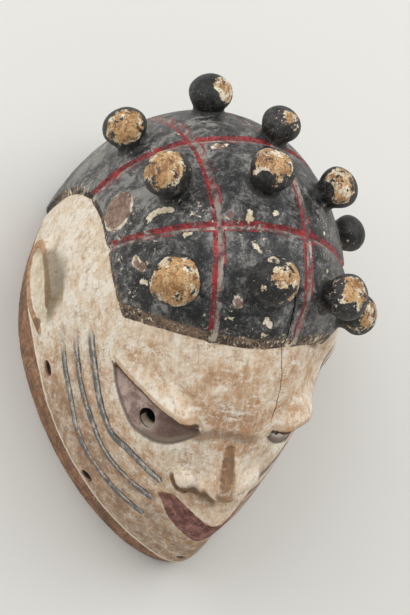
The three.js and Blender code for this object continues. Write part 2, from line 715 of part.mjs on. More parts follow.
const TUFTS = [
  { base: [-55, 96, 129], axis: [-0.52, 0.46, 0.72], reach: 16, radius: 14 },
  { base: [-8, 118, 137], axis: [-0.08, 0.7, 0.7], reach: 16, radius: 14 },
  { base: [22, 92, 172], axis: [0.2, 0.48, 0.85], reach: 13, radius: 12.5 },
  { base: [-45, 50, 187], axis: [-0.54, 0.26, 0.8], reach: 15, radius: 14.5 },
  { base: [3, 49, 208], axis: [0.03, 0.25, 0.97], reach: 15, radius: 13.5 },
  { base: [49, 53, 181], axis: [0.58, 0.28, 0.76], reach: 14, radius: 13 },
  { base: [80, 48, 124], axis: [0.85, 0.2, 0.5], reach: 10, radius: 12 },
  { base: [-43, -10, 193], axis: [-0.55, -0.17, 0.82], reach: 15, radius: 15.5 },
  { base: [1, -13, 212], axis: [0.03, -0.18, 0.98], reach: 15, radius: 14.5 },
  { base: [46, -12, 190], axis: [0.6, -0.19, 0.78], reach: 16, radius: 14 },
  { base: [66, -13, 162], axis: [0.75, -0.2, 0.63], reach: 13, radius: 13 },
];
const TUFT_SIDES = 11;

function tuftGeometry({ base, axis, reach, radius }) {
  const profile = [
    [0, -8],
    [radius * 0.78, -8],
    [radius * 0.72, 3],
    [radius * 0.93, reach - radius * 0.35],
    [radius, reach],
    [radius * 0.87, reach + radius * 0.42],
    [radius * 0.5, reach + radius * 0.72],
    [0, reach + radius * 0.82],
  ];
  const geometry = new THREE.LatheGeometry(profile.map(([x, y]) => new THREE.Vector2(x, y)), TUFT_SIDES);
  const turn = new THREE.Quaternion().setFromUnitVectors(
    new THREE.Vector3(0, 1, 0),
    new THREE.Vector3(...unit(axis)),
  );
  geometry.applyQuaternion(turn);
  geometry.translate(...base);
  return geometry;
}

// Holes: pupils and lashing holes pierced right through the wall

function drill(centre, axis, diameter, length) {
  const geometry = new THREE.CylinderGeometry(diameter / 2, diameter / 2, length, 14);
  const turn = new THREE.Quaternion().setFromUnitVectors(
    new THREE.Vector3(0, 1, 0),
    new THREE.Vector3(...unit(axis)),
  );
  geometry.applyQuaternion(turn);
  geometry.translate(...centre);
  return geometry;
}

const PUPIL = eyePlace(2.5, -8.6);
const PUPIL_DIAMETER = 12.6;
const SIDE_HOLE = { centre: [92, -31, 52], axis: [0.93, -0.3, 0.2], diameter: 6.8 };
const JAW_HOLE = { centre: [62, -96, 35], axis: [0.72, -0.66, 0.2], diameter: 5.4 };
const drills = [
  drill(slimmed(shift(PUPIL, LEFT_EYE_SHIFT, 1)), EYE_OUT, PUPIL_DIAMETER, 70),
  drill(mirror(PUPIL), mirror(EYE_OUT), PUPIL_DIAMETER, 70),
  drill([-1, -148, 38], [0, -1, 0.1], 6, 56),
];
for (const { centre, axis, diameter } of [SIDE_HOLE, JAW_HOLE]) {
  drills.push(drill(slimmed(centre), axis, diameter, 60));
  drills.push(drill(mirror(centre), mirror(axis), diameter, 60));
}

// Join and cut into one solid

const wasm = await Module();
wasm.setup();

function toSolid(geometry) {
  const bare = geometry.clone();
  bare.deleteAttribute('normal');
  bare.deleteAttribute('uv');
  const merged = mergeVertices(bare, 1e-4);
  return new wasm.Manifold(new wasm.Mesh({
    numProp: 3,
    vertProperties: new Float32Array(merged.attributes.position.array),
    triVerts: new Uint32Array(merged.index.array),
  }));
}

let solid = toSolid(outerGeometry);
for (const tuft of TUFTS) solid = solid.add(toSolid(tuftGeometry(tuft)));
solid = solid.subtract(toSolid(hollowGeometry));
for (const hole of drills) solid = solid.subtract(toSolid(hole));

const mesh = solid.getMesh();
const geometry = new THREE.BufferGeometry();
geometry.setAttribute('position', new THREE.BufferAttribute(new Float32Array(mesh.vertProperties), 3));
geometry.setIndex(new THREE.BufferAttribute(new Uint32Array(mesh.triVerts), 1));
geometry.computeVertexNormals();

const wood = new THREE.MeshStandardMaterial({ color: 0xcdb99c, roughness: 0.82, metalness: 0 });
const mask = new THREE.Mesh(geometry, wood);
mask.name = 'carved_mask';

const group = new THREE.Group();
group.add(mask);

export default group;
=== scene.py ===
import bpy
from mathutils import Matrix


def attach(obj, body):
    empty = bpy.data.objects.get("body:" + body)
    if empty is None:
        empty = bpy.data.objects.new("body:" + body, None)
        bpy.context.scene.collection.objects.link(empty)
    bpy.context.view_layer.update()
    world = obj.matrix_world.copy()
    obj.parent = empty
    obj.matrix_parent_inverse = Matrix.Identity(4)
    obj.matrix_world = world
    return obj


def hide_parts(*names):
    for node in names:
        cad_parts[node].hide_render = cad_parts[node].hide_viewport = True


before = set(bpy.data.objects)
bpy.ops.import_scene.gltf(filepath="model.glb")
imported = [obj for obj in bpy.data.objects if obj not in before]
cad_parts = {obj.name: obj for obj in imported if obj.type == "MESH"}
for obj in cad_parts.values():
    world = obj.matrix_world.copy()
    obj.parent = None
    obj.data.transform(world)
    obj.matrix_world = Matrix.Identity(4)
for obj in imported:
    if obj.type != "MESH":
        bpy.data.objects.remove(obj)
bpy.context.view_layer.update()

import math

import bmesh
import bpy
import numpy as np
from mathutils import Matrix, Vector

# Camera: it looks down on the mask lying on its rim, from the right cheek's side.
# Right and back are the picture's own directions, written in the mask's frame.
camera_data = bpy.data.cameras.new("camera")
camera_data.sensor_width = 36.0
camera_data.lens = 101.86
camera_place = (-0.3200, -0.2889, 1.1206)
camera = bpy.data.objects.new("camera", camera_data)
bpy.context.scene.collection.objects.link(camera)
picture_right = Vector((0.9557, -0.0184, 0.2937)).normalized()
picture_back = Vector((-0.2880, -0.2628, 0.9209)).normalized()
picture_up = picture_back.cross(picture_right).normalized()
picture_right = picture_up.cross(picture_back)
turn = Matrix((picture_right, picture_up, picture_back)).transposed().to_4x4()
camera.matrix_world = Matrix.Translation(camera_place) @ turn
bpy.context.scene.camera = camera

# Head: one block of wood carved to an egg with a pointed chin, its front planed to a gently
# curved face, its left cheek carved a little slimmer than the right. Sizes are in millimetres,
# and every form below gives a height above or below this head.
HALF_WIDTH = 102.3
CHIN_END = -147.0
NAPE_END = 150.2
WIDEST_Y = 10.9
HEAD_HEIGHT = 214.7
FACE_RADIUS = 450.0
FACE_LOW = (-133.0, 104.0)
FACE_HIGH = (-47.6, 200.0)
LEFT_SLIMMER = 5.5
CHIN_REACH = WIDEST_Y - CHIN_END
FRONT_POWER = 1.607
BACK_POWER = 2.07
DOME_POWER = 2.11
FACE_BLEND = 16.0


def ease(low, high, value):
    t = np.clip((value - low) / (high - low), 0, 1)
    return t * t * (3 - 2 * t)


def blend_max(a, b, width):
    t = np.clip(0.5 + 0.5 * (a - b) / width, 0, 1)
    return b + (a - b) * t + width * t * (1 - t)


def blend_min(a, b, width):
    return -blend_max(-a, -b, width)


def smooth_along(value, places, heights):
    places = np.asarray(places, float)
    heights = np.asarray(heights, float)
    slopes = np.gradient(heights, places)
    value = np.clip(value, places[0], places[-1])
    i = np.clip(np.searchsorted(places, value) - 1, 0, len(places) - 2)
    width = places[i + 1] - places[i]
    t = (value - places[i]) / width
    low = heights[i] * (1 + 2 * t) * (1 - t) ** 2 + slopes[i] * width * t * (1 - t) ** 2
    high = heights[i + 1] * t * t * (3 - 2 * t) + slopes[i + 1] * width * t * t * (t - 1)
    return low + high


def unit(vector):
    vector = np.asarray(vector, float)
    return vector / np.linalg.norm(vector)


def egg(x, y, z):
    dy = y - WIDEST_Y
    front = dy < 0
    power = np.where(front, FRONT_POWER, BACK_POWER)
    reach = np.where(front, CHIN_REACH, NAPE_END - WIDEST_Y)
    plan = ((np.abs(x) / HALF_WIDTH) ** power + (np.abs(dy) / reach) ** power) ** (1 / power)
    level = (plan ** DOME_POWER + (np.abs(z) / HEAD_HEIGHT) ** DOME_POWER) ** (1 / DOME_POWER)
    return np.sqrt(x * x + dy * dy + z * z) * (1 - 1 / np.maximum(level, 1e-6))


def head(x, y, z):
    rise = np.array(FACE_HIGH) - np.array(FACE_LOW)
    chord = np.linalg.norm(rise)
    back = math.sqrt(FACE_RADIUS ** 2 - (chord / 2) ** 2)
    middle = (np.array(FACE_HIGH) + np.array(FACE_LOW)) / 2
    centre_y = middle[0] + rise[1] / chord * back
    centre_z = middle[1] - rise[0] / chord * back
    face = np.sqrt(x ** 2 + (y - centre_y) ** 2 + (z - centre_z) ** 2) - FACE_RADIUS
    return blend_max(egg(x, y, z), face, FACE_BLEND)


def unslimmed(x, y, z):
    amount = LEFT_SLIMMER * ease(4, 26, x) * ease(-18, -36, y)
    out = [x / HALF_WIDTH ** 2, (y - WIDEST_Y) / CHIN_REACH ** 2, z / HEAD_HEIGHT ** 2]
    size = np.sqrt(out[0] ** 2 + out[1] ** 2 + out[2] ** 2) + 1e-9
    return x + amount * out[0] / size, y + amount * out[1] / size, z + amount * out[2] / size


def unevenness(x, y, z, size, seed):
    points = [np.asarray(c) / size + seed * 7.31 for c in (x, y, z)]
    cells = [np.floor(c).astype(np.int64) for c in points]
    parts = [c - f for c, f in zip(points, cells)]
    parts = [t * t * (3 - 2 * t) for t in parts]
    total = 0.0
    for corner in range(8):
        bits = [corner & 1, corner >> 1 & 1, corner >> 2 & 1]
        key = sum((f + b) * p for f, b, p in zip(cells, bits, (73856093, 19349663, 83492791)))
        key = (key ^ (key >> 13)) * 1274126177
        value = ((key ^ (key >> 16)) & 65535) / 32767.5 - 1
        weight = 1.0
        for t, b in zip(parts, bits):
            weight = weight * (t if b else 1 - t)
        total = total + value * weight
    return total


# Hair cap: part of the same block, left standing 4 mm proud of the face behind a chamfered edge.
# It comes forward over the brow, turns a corner at each temple and runs back behind the ears.
CAP_STEP = 4.0
CAP_CHAMFER = 6.5
CAP_FRONT_Y = -47.0
CAP_FRONT_BENDS = (0.0040, 0.0058)
CAP_CORNER_Y = -16.0
CAP_SIDE_LENGTH = 104.0
CAP_SIDE_HEIGHT = 148.0
CAP_SIDE_POWER = 2.5
CAP_CORNER_BLEND = 2.0


def cap_inside(x, y, z):
    bend = np.where(x > 0, *CAP_FRONT_BENDS)
    slope = 2 * bend * np.abs(x)
    front = (y - CAP_FRONT_Y - bend * x ** 2) / np.sqrt(1 + slope ** 2) * 1.2
    dy = np.maximum(y - CAP_CORNER_Y, 0)
    level = (dy / CAP_SIDE_LENGTH) ** CAP_SIDE_POWER + (np.maximum(z, 0) / CAP_SIDE_HEIGHT) ** CAP_SIDE_POWER
    level = level ** (1 / CAP_SIDE_POWER)
    curved = np.hypot(dy, z) * (1 - 1 / np.maximum(level, 1e-6))
    side = np.where(y > CAP_CORNER_Y, curved, z - CAP_SIDE_HEIGHT)
    return blend_min(front, side, CAP_CORNER_BLEND)


def cap_rise(cap):
    return -CAP_STEP * (1 - np.clip(cap / CAP_CHAMFER, 0, 1)) * np.exp(-np.maximum(-cap, 0) / 30)


# Rim band: a low ridge cut round the face side of the block, where the carved face ends. Below
# it the wood is planed plain down to the rim that the mask rests on.
RIDGE_Y = [-150, -134, -105, -75, -50, -30, -10, 5, 30, 50, 70, 84, 98]
RIDGE_Z = [24, 26, 29, 30, 34, 40, 43, 41, 33, 28, 26, 18, 0]
RIDGE_HEIGHT = 2.4
RIDGE_SLOPE_LENGTH = 28


def ridge_level(y):
    return np.interp(y, RIDGE_Y, RIDGE_Z)


def ridge_rise(y, z):
    level = ridge_level(y)
    above = 1 - (z - level) / RIDGE_SLOPE_LENGTH
    below = 1 - (level - z) / np.maximum(level, 6)
    return RIDGE_HEIGHT * np.clip(np.where(z > level, above, below), 0, 1) * ease(0, 14, level)


# Eyes: slanted almonds sunk under a thick upper lid that swells toward the nose. They are drawn
# along and across a plane that faces out from the cheek. The left lid stands out further.
EYE_CENTRE = np.array([51.0, -72.7, 137.5])
EYE_OUT = unit([0.7668, -0.5154, 0.3826])
EYE_ALONG = unit(np.array([-45.0, -45.0, 20.0]) - EYE_OUT * (EYE_OUT @ np.array([-45.0, -45.0, 20.0])))
EYE_UP = np.cross(EYE_ALONG, EYE_OUT)
LEFT_EYE_SHIFT = np.array([3.0, -3.0, -7.0])
LID_ALONG = [-37, -34, -26, -18, -3, 10, 19, 25, 31, 33.5, 35.5]
LID_LINE = [4.4, 4.7, 5.4, 6.3, 8.7, 10.5, 11.7, 11.8, 10.2, 8.2, 6]
LID_HEIGHT = [0, 0.6, 1.6, 2.6, 5.2, 8.4, 10, 10.2, 8.6, 5.4, 0]
LID_WIDTH = [6, 7, 9, 11, 14, 15.5, 15.5, 14, 11.5, 9.5, 7]
LOWER_ALONG = [-34, -25, -15, -4, 7, 17.5, 26.6, 33, 35.5]
LOWER_LINE = [4, -6.8, -14.9, -21.5, -20.5, -16.4, -8, 1.5, 6]
LEFT_LID_EXTRA = 6.5
LID_EDGE = 3
EYE_HALF_LENGTH = 35
EYE_THROUGH = 35
EYE_SINK = 1.2
EYE_SINK_TO_LID = 5.2
PUPIL = (2.5, -8.6)
PUPIL_RADIUS = 6.3


def eye_place(x, y, z):
    left = np.where(x > 0, 1.0, 0.0)
    moved = [np.abs(x), y, z]
    offset = [m - c - s * left for m, c, s in zip(moved, EYE_CENTRE, LEFT_EYE_SHIFT)]
    return [sum(o * d for o, d in zip(offset, direction)) for direction in (EYE_ALONG, EYE_UP, EYE_OUT)]


def eye_rise(x, y, z):
    along, up, out = eye_place(x, y, z)
    top = smooth_along(along, LID_ALONG, LID_LINE)
    low = smooth_along(along, LOWER_ALONG, LOWER_LINE)
    deep = np.clip((up - low) / np.maximum(top - low, 0.5), 0, 1)
    ends = np.clip((EYE_HALF_LENGTH - np.abs(along)) / 6, 0, 1)
    sunk = (EYE_SINK + EYE_SINK_TO_LID * deep ** 1.4) * ends * ease(0, 1.6, up - low)
    height = smooth_along(along, LID_ALONG, LID_HEIGHT)
    height = height + LEFT_LID_EXTRA * np.where(x > 0, 1.0, 0.0) * np.exp(-((along - 5) / 15.0) ** 2)
    width = smooth_along(along, LID_ALONG, LID_WIDTH)
    over = up - top
    height = height * ease(0, 6, 36 - 1.2 * np.maximum(over, 0) - along)
    edge = 1 - 0.22 * ((LID_EDGE - over) / LID_EDGE) ** 2
    lid = height * np.where(over < LID_EDGE, edge, 1 - ease(0, 1, (over - LID_EDGE) / width))
    shelf = ease(-0.5, 0.5, over)
    rise = lid * shelf - sunk * (1 - shelf) * ease(-36, -34, along) * ease(36, 34, along)
    return np.where(np.abs(out) < EYE_THROUGH, rise, 0)


# Mouth: carved from the block, a pouting upper lip that comes to a point over a heavy lower
# lip. The lower lip slopes back to the chin.
LIP_LINE_X = [0, 5, 10, 19, 27, 31, 33.5]
LIP_LINE_Z = [105.2, 105.4, 106.2, 108, 106.5, 99, 94]
LIP_FOOT_X = [0, 3, 7, 15.5, 24, 29, 33.5]
LIP_FOOT_Z = [72, 72.6, 74.8, 79.3, 84.7, 92, 94]
LIP_X = [0, 4, 12, 19.5, 27.5, 33.5]
UPPER_LIP = [12, 11.3, 8.6, 6.4, 3.2, 0]
LOWER_LIP = [7.5, 7.2, 6.2, 5.2, 3.2, 0]
UPPER_LIP_SPREAD = 17
CHIN_RISE = 3.0
CHIN_TOP = 45
MOUTH_Y = (-80, -88)


def lip_place(x, z):
    line = smooth_along(np.abs(x), LIP_LINE_X, LIP_LINE_Z)
    foot = smooth_along(np.abs(x), LIP_FOOT_X, LIP_FOOT_Z)
    return line, foot


def mouth_rise(x, y, z):
    ax = np.abs(x)
    line, foot = lip_place(x, z)
    within = np.clip((z - foot) / np.maximum(line - foot, 1), 0, 1)
    over = z - line
    upper = smooth_along(ax, LIP_X, UPPER_LIP) * (1 - 1.15 * ease(0, UPPER_LIP_SPREAD, over))
    upper = upper * ease(2 * UPPER_LIP_SPREAD, 20, over)
    lower = smooth_along(ax, LIP_X, LOWER_LIP) * (0.55 + 0.45 * np.sin(within * math.pi * 0.62))
    chin = CHIN_RISE * ease(0, CHIN_TOP, z) * ease(24, 6, ax)
    below = chin + (np.maximum(lower, chin * (1 - within)) - chin) * ease(-0.6, 0.6, z - foot)
    rise = below + (upper - below) * ease(-0.5, 0.5, over)
    return rise * ease(*MOUTH_Y, y)


# Nose: left standing from the block, a narrow ridge down from the brow with a rounded wing on
# each side. It is cut off flat below.
NOSE_UNDERSIDE = 117.5
NOSE_UNDERSIDE_SLOPE = 0.06
NOSE_TIP_Y = -124
NOSE_BODY = ((0, -90, 136), (0, -116, 127.5), 7.5, 10.5)
NOSE_RIDGE = ((0, -87, 145), (0, -122.5, 134.6), 2.6, 5.0)
NOSE_WING = ((13, -116, 122.5), (20.5, -111, 119.5), 6.0, 8.4)


def line_place(x, y, z, start, end):
    start = np.asarray(start, float)
    run = np.asarray(end, float) - start
    dx, dy, dz = x - start[0], y - start[1], z - start[2]
    share = np.clip((dx * run[0] + dy * run[1] + dz * run[2]) / (run @ run), 0, 1)
    height = dz - share * run[2]
    gap = np.sqrt((dx - share * run[0]) ** 2 + (dy - share * run[1]) ** 2 + height ** 2)
    return gap, share, height


def rod(x, y, z, start, end, start_radius, end_radius):
    gap, share, _ = line_place(x, y, z, start, end)
    return gap - (start_radius + (end_radius - start_radius) * share)


def with_nose(x, y, z, skin):
    ax = np.abs(x)
    full = skin
    for form, fillet in ((NOSE_BODY, 7.0), (NOSE_RIDGE, 5.0), (NOSE_WING, 4.0)):
        full = blend_min(full, rod(ax, y, z, *form), fillet)
    under = NOSE_UNDERSIDE + NOSE_UNDERSIDE_SLOPE * ax + 2.0 * np.maximum(NOSE_TIP_Y - y, 0)
    return skin + (full - skin) * ease(-0.5, 0.5, z - under)


# Ears: carved low on the sides of the block, each a rounded helix round a shallow dish, with a
# hollow scooped out of the cheek in front of it.
EAR_Y = [-7, 3, 16, 30, 44, 52, 50, 41, 30, 20, 12, 6]
EAR_Z = [57, 52, 46, 42, 43, 50, 60, 71, 78, 81, 80, 74]
EAR_ALONG = [0, 0.2, 0.45, 0.7, 0.9, 1]
EAR_HEIGHT = [1.5, 3, 6, 6.5, 6, 2.5]
HELIX_HALF_WIDTH = 4.6
DISH_SHARE = 0.5
SCOOP_DEPTH = 4.2
SCOOP_Y = 8
SCOOP_Z = 86
EAR_SIDE_X = 50


def ear_place(y, z):
    nearest = np.full(np.shape(y), 1e9)
    along = np.zeros(np.shape(y))
    inside = np.zeros(np.shape(y), bool)
    count = len(EAR_Y)
    for i in range(count):
        j = (i + 1) % count
        dy, dz = EAR_Y[j] - EAR_Y[i], EAR_Z[j] - EAR_Z[i]
        t = np.clip(((y - EAR_Y[i]) * dy + (z - EAR_Z[i]) * dz) / (dy * dy + dz * dz), 0, 1)
        gap = np.hypot(y - EAR_Y[i] - t * dy, z - EAR_Z[i] - t * dz)
        inside ^= ((EAR_Z[i] > z) != (EAR_Z[j] > z)) & (y < dy * (z - EAR_Z[i]) / dz + EAR_Y[i])
        if j == 0:
            closing = gap
        else:
            closer = gap < nearest
            along = np.where(closer, (i + t) / (count - 1), along)
            nearest = np.where(closer, gap, nearest)
    return nearest, along, inside, closing


def ear_rise(x, y, z):
    nearest, along, inside, closing = ear_place(y, z)
    height = np.interp(along, EAR_ALONG, EAR_HEIGHT)
    across = np.clip(nearest / HELIX_HALF_WIDTH, 0, 1)
    helix = height * np.sqrt(1 - across ** 2)
    dish = height * DISH_SHARE * np.clip(1 - (nearest - 2) / 14, 0.3, 1) * ease(0, 8, closing)
    dish = np.where(inside, dish, 0)
    dy, dz = y - SCOOP_Y, z - SCOOP_Z
    scoop = SCOOP_DEPTH * np.exp(-((dy / 13) ** 2) - ((dz - 0.25 * dy) / 8) ** 2)
    scoop = np.where(inside, 0, scoop * ease(0, 5, nearest))
    return np.where(np.abs(x) > EAR_SIDE_X, np.maximum(helix, dish) - scoop, 0)


# Cheek scars: three V-shaped lines cut into each cheek with a knife, bent like a bow round the
# eye and mouth. They mirror each other.
SCAR_DEPTH = 1.9
SCAR_HALF_WIDTH = 2.2
SCARS = [
    [
        (91, -17, 86), (87, -36, 77), (83, -50, 71), (77, -65, 61),
        (70, -79, 55), (60, -96, 55), (47, -112, 58), (35, -123, 62),
    ],
    [
        (87, -20, 102), (82, -43, 92), (77, -56, 86), (72, -69, 82),
        (64, -86, 77), (48, -106, 79), (35, -117, 85),
    ],
    [
        (81, -24, 119), (74, -50, 107), (68, -68, 98), (61, -82, 95),
        (53, -91, 100), (44, -101, 103), (35, -110, 105),
    ],
]


def smooth_line(points, count=24):
    points = np.array(points, float)
    lengths = np.r_[0, np.cumsum(np.linalg.norm(np.diff(points, axis=0), axis=1))]
    places = np.linspace(0, lengths[-1], count)
    return np.stack([smooth_along(places, lengths, points[:, k]) for k in range(3)], axis=1)


def bent_line_place(x, y, z, line):
    nearest = np.full(np.shape(x), 1e9)
    height = np.zeros(np.shape(x))
    for start, end in zip(line[:-1], line[1:]):
        gap, _, over = line_place(x, y, z, start, end)
        height = np.where(gap < nearest, over, height)
        nearest = np.minimum(nearest, gap)
    return nearest, height


SCAR_LINES = [smooth_line(scar) for scar in SCARS]


def scar_place(x, y, z):
    gap = np.full(np.shape(x), 40.0)
    height = np.zeros(np.shape(x))
    near = (y < -5) & (y > -140) & (z > 40) & (z < 135) & (np.abs(x) > 25)
    ax, py, pz = np.abs(x)[near], y[near], z[near]
    for line in SCAR_LINES:
        line_gap, over = bent_line_place(ax, py, pz, line)
        height[near] = np.where(line_gap < gap[near], over, height[near])
        gap[near] = np.minimum(line_gap, gap[near])
    return gap, height


# Partings: V-shaped lines cut into the wood of the cap, two from side to side and two from
# brow to nape, so that the hair is parted in squares with a tuft in each.
PARTING_HALF_WIDTH = 3.3
PARTING_DEPTH = 2.6
CROWN_PARTING_Y = 20.5
BACK_PARTING_Y = 84.5
BACK_PARTING_BEND = 21.5
BACK_PARTING_REACH = 80
RIGHT_PARTING_X = -25.5
LEFT_PARTING_X = 30.5


def parting_gaps(x, y, z):
    ax = np.minimum(np.abs(x), 84)
    back = y - BACK_PARTING_Y + BACK_PARTING_BEND * (ax / BACK_PARTING_REACH) ** 4
    slope = 4 * BACK_PARTING_BEND / BACK_PARTING_REACH * (ax / BACK_PARTING_REACH) ** 3
    back = np.where(z > 60, back / np.sqrt(1 + slope ** 2), 99.0)
    py = np.maximum(y, 0)
    crown = y - CROWN_PARTING_Y + 0.03 * x
    right = x - RIGHT_PARTING_X + 0.0007 * py ** 2
    left = x - LEFT_PARTING_X + 0.0017 * py ** 2
    return crown, back, right, left


def parting_depth(x, y, z, cap):
    gaps = parting_gaps(x, y, z)
    gap = np.minimum.reduce([np.abs(g) for g in gaps])
    return PARTING_DEPTH * np.clip(1 - gap / PARTING_HALF_WIDTH, 0, 1) * ease(-2, 0.5, cap)


# Tufts: short necks with flattened round heads, carved in one with the cap, each leaning its own
# way. Each row gives base point, direction, height of the head's middle and radius of the head.
# The neck is a share of the head's radius wide, and the head is flatter than it is wide.
NECK_SHARE = 0.68
TUFT_FLATNESS = 0.82
TUFT_FILLET = 3.5
NECK_FILLET = 4.0
NECK_FLARE = 0.06
NECK_WAIST = 6
TUFT_ROOT = -12
TUFTS = [
    ((-55, 96, 129), (-0.52, 0.46, 0.72), 16, 14),
    ((-8, 118, 137), (-0.08, 0.70, 0.70), 16, 14),
    ((22, 92, 172), (0.20, 0.48, 0.85), 13, 12.5),
    ((-45, 50, 187), (-0.54, 0.26, 0.80), 15, 14.5),
    ((3, 49, 208), (0.03, 0.25, 0.97), 15, 13.5),
    ((49, 53, 181), (0.58, 0.28, 0.76), 14, 13),
    ((80, 48, 124), (0.85, 0.20, 0.50), 10, 12),
    ((-43, -10, 193), (-0.55, -0.17, 0.82), 15, 15.5),
    ((1, -13, 212), (0.03, -0.18, 0.98), 15, 14.5),
    ((46, -12, 190), (0.60, -0.19, 0.78), 16, 14),
    ((66, -13, 162), (0.75, -0.20, 0.63), 13, 13),
]
# For each tuft: the way its worn patch faces, how far the patch stops short of half the head
# (1 leaves none), and how strongly islands of paint stay in it.
TUFT_WEAR = [
    ((-0.29, -0.17, 0.94), 0.50, 1.5),
    ((0.60, 0.10, 0.80), 0.74, 2.0),
    ((0.35, -0.02, 0.94), 0.84, 2.0),
    ((-0.52, 0.11, 0.85), 0.42, 3.5),
    ((-0.19, 0.10, 0.98), 0.62, 9.0),
    ((0.06, -0.05, 1.00), 0.64, 8.0),
    ((-0.29, -0.26, 0.92), 1.30, 0.0),
    ((-0.37, -0.35, 0.86), 0.30, 3.5),
    ((0.17, -0.20, 0.97), 0.55, 9.0),
    ((-0.15, -0.01, 0.99), 0.74, 7.0),
    ((0.27, -0.51, 0.81), 0.60, 5.0),
]


def axis_place(x, y, z, base, axis):
    offset = [x - base[0], y - base[1], z - base[2]]
    height = sum(o * a for o, a in zip(offset, unit(axis)))
    out = np.sqrt(np.maximum(sum(o * o for o in offset) - height ** 2, 0))
    return height, out


def tuft_form(x, y, z, tuft):
    base, axis, reach, radius = tuft
    height, out = axis_place(x, y, z, base, axis)
    neck = out - (radius * NECK_SHARE + NECK_FLARE * np.abs(height - NECK_WAIST))
    neck = np.maximum(np.maximum(neck, height - reach), TUFT_ROOT - height)
    level = np.sqrt((out / radius) ** 2 + ((height - reach) / (radius * TUFT_FLATNESS)) ** 2)
    top = np.sqrt(out ** 2 + (height - reach) ** 2) * (1 - 1 / np.maximum(level, 1e-6))
    return blend_min(neck, top, NECK_FILLET)


# Stub: the flat round scar of bare wood where one tuft on the right has broken off. The tuft is
# missing and stays missing.
STUB_CENTRE = (-71, 44, 152.5)
STUB_AXIS = (-0.88, 0.21, 0.43)
STUB_RADIUS = 12.5
STUB_RISE = 0.8

# Whole mask: all the carving together on the head, then the tufts joined on with soft fillets
# and the inside hollowed out to an even wall that is thicker behind the face, open at the rim.
WALL = 12
FACE_WALL_EXTRA = 5
TUFT_ROOM = 45
TOOL_WAVES = ((0.35, 17.0, 1), (0.12, 6.0, 2))


def face_share(cap):
    return ease(8, -8, cap)


def skin_form(x, y, z):
    x0, y0, z0 = x, y, z
    x, y, z = unslimmed(x, y, z)
    ax = np.abs(x)
    cap = cap_inside(x, y, z)
    rise = cap_rise(cap) + ridge_rise(y, z) * face_share(cap) + mouth_rise(x, y, z)
    rise = rise + eye_rise(x, y, z) * face_share(cap) + ear_rise(x, y, z) * face_share(cap)
    skin = head(ax, y, z) - rise + parting_depth(x, y, z, cap)
    skin = with_nose(x, y, z, skin)
    skin = skin + SCAR_DEPTH * np.clip(1 - scar_place(x, y, z)[0] / SCAR_HALF_WIDTH, 0, 1)
    for deep, size, seed in TOOL_WAVES:
        skin = skin + deep * unevenness(x, y, z, size, seed)
    height, out = axis_place(x0, y0, z0, STUB_CENTRE, STUB_AXIS)
    stub = np.maximum(np.maximum(height - STUB_RISE, out - STUB_RADIUS), -8 - height)
    return blend_min(skin, stub, 1.0)


def hollow_form(x, y, z):
    wall = WALL + FACE_WALL_EXTRA * ease(-20, -60, y)
    return head(np.abs(x), y, z) + wall + 0.9 * unevenness(x, y, z, 22.0, 5)


def mask_form(points):
    x, y, z = points.T
    form = skin_form(x, y, z)
    for tuft in TUFTS:
        axis = unit(tuft[1])
        centre = np.array(tuft[0]) + axis * tuft[2] * 0.6
        near = np.sum((points - centre) ** 2, axis=1) < TUFT_ROOM ** 2
        tx, ty, tz = x[near], y[near], z[near]
        lump = 0.5 * unevenness(tx, ty, tz, 9.0, 3)
        form[near] = blend_min(form[near], tuft_form(tx, ty, tz, tuft) + lump, TUFT_FILLET)
    form = np.maximum(form, -hollow_form(x, y, z))
    return np.maximum(form, -z)


# Surface mesh of the whole mask: the form is met on finer and finer cubes near its surface, and
# each small cube that the surface crosses gives one point of the mesh.
CORNERS = np.array([[i >> 2 & 1, i >> 1 & 1, i & 1] for i in range(8)])
GRID_START = np.array([-124.5, -164.5, -8.5])
GRID_SIZE = np.array([249, 329, 264])
GRID_SPAN = 2048


def grid_key(cells):
    return (cells[:, 0] * GRID_SPAN + cells[:, 1]) * GRID_SPAN + cells[:, 2]


def corner_values(cells, size):
    corners = (cells[:, None, :] + CORNERS[None]).reshape(-1, 3)
    keys, first, place = np.unique(grid_key(corners), return_index=True, return_inverse=True)
    values = mask_form(GRID_START + corners[first] * size)
    return values[place].reshape(-1, 8)


def crossed(values, reach):
    return (values.min(axis=1) < reach) & (values.max(axis=1) > -reach)


def surface_cells(finest):
    size = finest * 8
    counts = np.ceil(GRID_SIZE / size).astype(int)
    cells = np.stack(np.meshgrid(*[np.arange(c) for c in counts], indexing="ij"), axis=-1).reshape(-1, 3)
    reach = 6.0
    while True:
        values = corner_values(cells, size)
        if size <= finest * 1.01:
            kept = crossed(values, 0.0)
            return cells[kept], values[kept], size
        kept = cells[crossed(values, reach)]
        cells = (kept[:, None, :] * 2 + CORNERS[None]).reshape(-1, 3)
        size = size / 2
        reach = 1.2 if size < finest * 3 else 3.0


